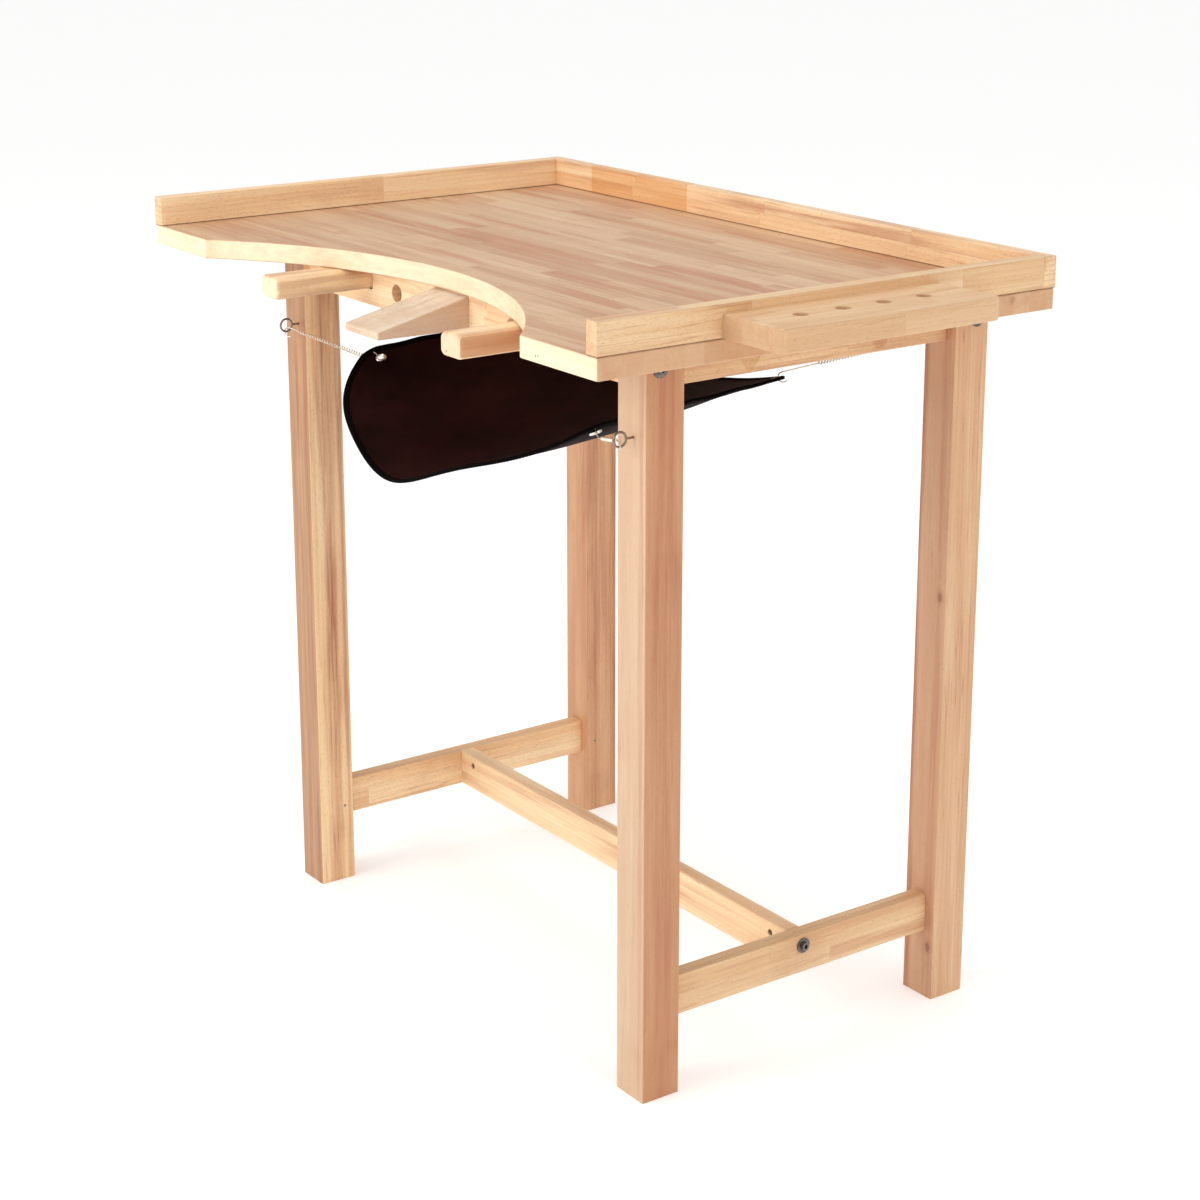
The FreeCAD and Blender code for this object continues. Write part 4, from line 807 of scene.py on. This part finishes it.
def corner_frames():
    """For each corner: the eye's seat, the side of its wire that the spring passes, the grommet's
    centre, the pull, the grommet's axis and the skin's normal."""
    ring_axis, shank, below = Vector((1, 0, 0)), Vector((0, 1, 0)), Vector((0, 0, -1))
    frames = []
    for side in (-1, 1):
        front = (0, FRONT_EYE_INSETS[side], FRONT_LEG_FACE, FRONT_EYE_DROP, below, shank * -1)
        rear = (1, REAR_EYE_INSET, BACK_LEG_FACE, REAR_EYE_DROP, (below - shank).normalized(), below)
        for back, inset, leg_face, drop, seat_way, open_side in (front, rear):
            eye_x = MIDDLE_X + side * (HALF_LEG_GAP + inset)
            eye = Vector((eye_x, leg_face - EYE_STANDOFF, UNDERSIDE - drop))
            target = skin_point(side, back) + Vector((-side, 1 - 2 * back, 0)) * GROMMET_INSET
            guess = side * (1 - 0.3 * GROMMET_INSET / HALF_WIDTH)
            upper, normal = skin_place(target.x, target.y, guess, abs(back - 0.05))
            centre = upper - normal * GROMMET_DEPTH
            seat = eye + seat_way * EYE_RADIUS
            pull = (centre - seat).normalized()
            eye_side = across_to(ring_axis.cross(seat_way), pull).cross(pull)
            eye_side *= math.copysign(1, eye_side.dot(open_side))
            frames.append((seat, eye_side, centre, pull, across_to(normal, pull), normal))
    return frames


def even_steps(count):
    """Numbers from -1 to 1, closer together near both ends."""
    even = [2 * i / count - 1 for i in range(count + 1)]
    return [math.sin(math.pi / 2 * step) * CROWDING + step * (1 - CROWDING) for step in even]


def length_along(points):
    return sum((a - b).length for a, b in zip(points, points[1:]))


def make_skin(material):
    """The sheet, with its flat width and length, and its area."""
    across_steps = even_steps(SHEET_STEPS[0])
    back_steps = [(1 + v) / 2 for v in even_steps(SHEET_STEPS[1])]
    grid = [[sheet_point(a, b) for b in back_steps] for a in across_steps]
    faces = sheet_faces(len(across_steps), len(back_steps))
    skin = mesh_object("skin_leather", sum(grid, []), faces, material)
    area = sum(face.area for face in skin.data.polygons)
    width = max(length_along(line) for line in zip(*grid))
    length = max(length_along(line) for line in grid)
    thick = skin.modifiers.new("thick", "SOLIDIFY")
    thick.thickness = THICKNESS
    thick.offset = -1
    bake_modifiers(skin)
    punch_holes(skin)
    return skin, (width, length), area


def punch_holes(skin):
    """Cuts a round hole through the leather under each grommet."""
    vertices, faces = [], []
    for _, _, centre, pull, axis, _ in corner_frames():
        first = len(vertices)
        for level in (-HOLE_REACH, HOLE_REACH):
            vertices += ring(centre + axis * level, pull, axis.cross(pull), HOLE_RADIUS, HOLE_SIDES)
        faces += tube_faces(first, 2, HOLE_SIDES)
        faces.append(tuple(first + i for i in reversed(range(HOLE_SIDES))))
        faces.append(tuple(first + HOLE_SIDES + i for i in range(HOLE_SIDES)))
    tool = mesh_object("hole_tool", vertices, faces, skin.data.materials[0])
    cut = skin.modifiers.new("holes", "BOOLEAN")
    cut.operation = "DIFFERENCE"
    cut.object = tool
    cut.solver = "EXACT"
    bake_modifiers(skin)
    bpy.data.objects.remove(tool)


def rim_loop():
    """Points round the sheet's edge, each with the way into the sheet, the normal and the way along."""
    wide, deep = RIM_STEPS
    border = [(2 * i / wide - 1, 0.0) for i in range(wide)]
    border += [(1.0, i / deep) for i in range(deep)]
    border += [(1 - 2 * i / wide, 1.0) for i in range(wide)]
    border += [(-1.0, 1 - i / deep) for i in range(deep)]
    points = [sheet_point(a, b) for a, b in border]
    loop = []
    for i, (across, back) in enumerate(border):
        along = (points[(i + 1) % len(points)] - points[i - 1]).normalized()
        inner = sheet_point(across * 0.97, 0.5 + (back - 0.5) * 0.94)
        inward = across_to(inner - points[i], along)
        normal = along.cross(inward).normalized()
        loop.append((points[i], inward, normal * math.copysign(1, normal.z), along))
    return loop


def make_hem(material):
    """The folded edge: a strip of thinner leather turned over the rim and pressed flat."""
    loop = rim_loop()
    vertices = []
    for index, (point, inward, normal, _) in enumerate(loop):
        puff = 1 + 0.05 * math.sin(index * 0.9) + 0.04 * math.sin(index * 0.37 + 1)
        for step, lift in HEM_PROFILE:
            lifted = lift * puff if lift > 0 else (lift + THICKNESS) * puff - THICKNESS
            vertices.append(point + inward * step + normal * lifted)
    faces = sheet_faces(len(loop), len(HEM_PROFILE), closed=True)
    hem = mesh_object("skin_hem", vertices, faces, material)
    clean = bmesh.new()
    clean.from_mesh(hem.data)
    bmesh.ops.recalc_face_normals(clean, faces=clean.faces)
    clean.to_mesh(hem.data)
    clean.free()
    hem.data.shade_smooth()
    return hem


def make_stitches(material):
    """One row of thread on each side of the hem, a stitch at a time."""
    loop = rim_loop()
    vertices, faces = [], []
    travelled, due = 0.0, 0.0
    for (a, inward, normal, along), (b, _, _, _) in zip(loop, loop[1:] + loop[:1]):
        gap = (b - a).length
        while due < travelled + gap:
            at = a.lerp(b, (due - travelled) / gap) + inward * STITCH_INSET
            for height, outward in HEM_FACES:
                faces += tube_faces(len(vertices), len(STITCH_PROFILE), STITCH_SIDES)
                for step, stand, swell in STITCH_PROFILE:
                    centre = at + along * (step * STITCH_LENGTH) + normal * (height + outward * stand)
                    vertices += ring(centre, inward, normal, THREAD_RADIUS * swell, STITCH_SIDES)
            due += STITCH_PITCH
        travelled += gap
    return mesh_object("skin_stitches", vertices, faces, material)


def make_leather_pieces():
    hide = leather("skin_hide", colour(47, 18, 18), colour(24, 7, 8), colour(72, 36, 32), rough=0.62,
                   pebble=640, shine=0.05)
    edging = leather("skin_edging", colour(12, 8, 8), colour(6, 4, 4), colour(26, 19, 18), rough=0.70,
                     pebble=900, shine=0.04)
    skin, flat, area = make_skin(hide)
    hem = make_hem(edging)
    stitches = make_stitches(edging)
    for piece in (skin, hem, stitches):
        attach(piece, "bench")
    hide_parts("skin")


# ---------------------------------------------------------------- springs

# The wire's radius, and the hooks: bend radius, how far round they go, and their gap to what they hold.
WIRE = 0.0007
HOOK_BEND = 0.006
HOOK_TURN = math.radians(222)
HOOK_STEPS = 14
HOOK_GAP = 0.0005
LINE_ROUNDS = 8

# The coil: outer radius, length, turns, steps in each turn, how many turns it takes to open to its full
# radius, and the straight lead before it at the eye's end.
COIL_RADIUS = 0.0026
COIL_LENGTH = 0.098
COIL_TURNS = 27
COIL_STEPS = 16
OPENING_TURNS = 0.625
LEAD = 0.014

# What the hooks hold: the radius of the grommets' hole and of the screw eyes' wire.
GROMMET_HOLE = 0.0045
EYE_WIRE = 0.0013


def hook_points(centre, shank_end, onward):
    """A round hook about a centre, from the end of its shank on."""
    spoke = (shank_end - centre).normalized()
    onward = across_to(onward, spoke)
    turns = [HOOK_TURN * i / HOOK_STEPS for i in range(HOOK_STEPS + 1)]
    return [centre + (spoke * math.cos(turn) + onward * math.sin(turn)) * HOOK_BEND for turn in turns]


def coil_points(start, line, up):
    """Close turns round a line, that begin and end on it."""
    other = line.cross(up)
    points = []
    for i in range(COIL_TURNS * COIL_STEPS + 1):
        share = i / (COIL_TURNS * COIL_STEPS)
        swell = min(1, share * COIL_TURNS / OPENING_TURNS, (1 - share) * COIL_TURNS / OPENING_TURNS)
        angle = 2 * math.pi * i / COIL_STEPS
        radius = (COIL_RADIUS - WIRE) * swell
        centre = start + line * (LEAD + COIL_LENGTH * share)
        points.append(centre + (up * math.cos(angle) + other * math.sin(angle)) * radius)
    return points


def spring_path(seat, eye_side, grommet, pull, axis, normal):
    """Hook, straight lead, coil, straight rod and hook, as one line of points."""
    gap = HOOK_GAP + WIRE
    eye_hook = seat + pull * (HOOK_BEND - gap - EYE_WIRE)
    far_hook = grommet - pull * (GROMMET_HOLE - gap + HOOK_BEND)
    line = pull
    for _ in range(LINE_ROUNDS):
        start = eye_hook + across_to(eye_side, line) * HOOK_BEND
        end = far_hook + across_to(axis * math.copysign(1, -pull.dot(normal)), line) * HOOK_BEND
        line = (end - start).normalized()
    near = hook_points(eye_hook, start, line * -1)
    far = hook_points(far_hook, end, line)
    return near[::-1] + coil_points(start, line, across_to(eye_side, line)) + far


def tube(name, points, radius, material):
    curve = bpy.data.curves.new(name, "CURVE")
    curve.dimensions = "3D"
    curve.bevel_depth = radius
    curve.bevel_resolution = 3
    curve.use_fill_caps = True
    spline = curve.splines.new("POLY")
    spline.points.add(len(points) - 1)
    for slot, point in zip(spline.points, points):
        slot.co = (*point, 1)
    made = bpy.data.objects.new(name, curve)
    bpy.context.scene.collection.objects.link(made)
    curve.materials.append(material)
    return made


def make_springs():
    material = metal("spring_plate", (0.86, 0.80, 0.68), (0.62, 0.55, 0.43), 0.36)
    names = ("spring_front_left", "spring_rear_left", "spring_front_right", "spring_rear_right")
    for name, corner in zip(names, corner_frames()):
        spring = tube(name, spring_path(*corner), WIRE, material)
        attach(spring, "bench")
        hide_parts("skin_springs")


# ---------------------------------------------------------------- stage

WORLD_STRENGTH = 0.70
FLOOR_HALF = 40
LIGHTS_AIM = Vector((0, 0, 0.5))
CAMERA_PLACE = (2.3577, -1.6824, 1.4092)
CAMERA_AZIMUTH = math.radians(54.443)
CAMERA_ELEVATION = math.radians(15.276)
CAMERA_LENS = 75.31
CAMERA_SHIFT = -0.10


def make_floor():
    plan = [(-FLOOR_HALF, -FLOOR_HALF, 0), (FLOOR_HALF, -FLOOR_HALF, 0), (FLOOR_HALF, FLOOR_HALF, 0),
            (-FLOOR_HALF, FLOOR_HALF, 0)]
    mesh_object("floor", plan, [(0, 1, 2, 3)], plain_floor(), smooth=False)


def make_light(name, place, size, power):
    data = bpy.data.lights.new(name, "AREA")
    data.shape = "SQUARE"
    data.size = size
    data.energy = power
    light = bpy.data.objects.new(name, data)
    light.location = place
    light.rotation_mode = "QUATERNION"
    light.rotation_quaternion = (LIGHTS_AIM - Vector(place)).to_track_quat("-Z", "Y")
    bpy.context.scene.collection.objects.link(light)


def make_lights():
    world = bpy.data.worlds.new("studio")
    world.use_nodes = True
    background = world.node_tree.nodes["Background"]
    background.inputs["Color"].default_value = WHITE
    background.inputs["Strength"].default_value = WORLD_STRENGTH
    bpy.context.scene.world = world
    make_light("key", (-0.6, -4.2, 2.6), size=2.4, power=84)
    make_light("side", (4.2, 0.8, 2.2), size=2.6, power=24)
    make_light("top", (0.3, 0.2, 4.2), size=3.0, power=24)


def make_camera():
    level = math.cos(CAMERA_ELEVATION)
    look = Vector((-math.sin(CAMERA_AZIMUTH) * level, math.cos(CAMERA_AZIMUTH) * level,
                   -math.sin(CAMERA_ELEVATION)))
    data = bpy.data.cameras.new("camera")
    data.sensor_width = 36
    data.lens = CAMERA_LENS
    data.shift_y = CAMERA_SHIFT
    data.clip_start, data.clip_end = 0.05, 200
    camera = bpy.data.objects.new("camera", data)
    camera.location = CAMERA_PLACE
    camera.rotation_mode = "QUATERNION"
    camera.rotation_quaternion = look.to_track_quat("-Z", "Y")
    bpy.context.scene.collection.objects.link(camera)
    bpy.context.scene.camera = camera


def main():
    dress_top_and_fences()
    dress_legs()
    dress_rails()
    dress_fittings()
    dress_metal()
    make_leather_pieces()
    make_springs()
    make_floor()
    make_lights()
    make_camera()
    bpy.context.scene.view_settings.view_transform = "Standard"


main()
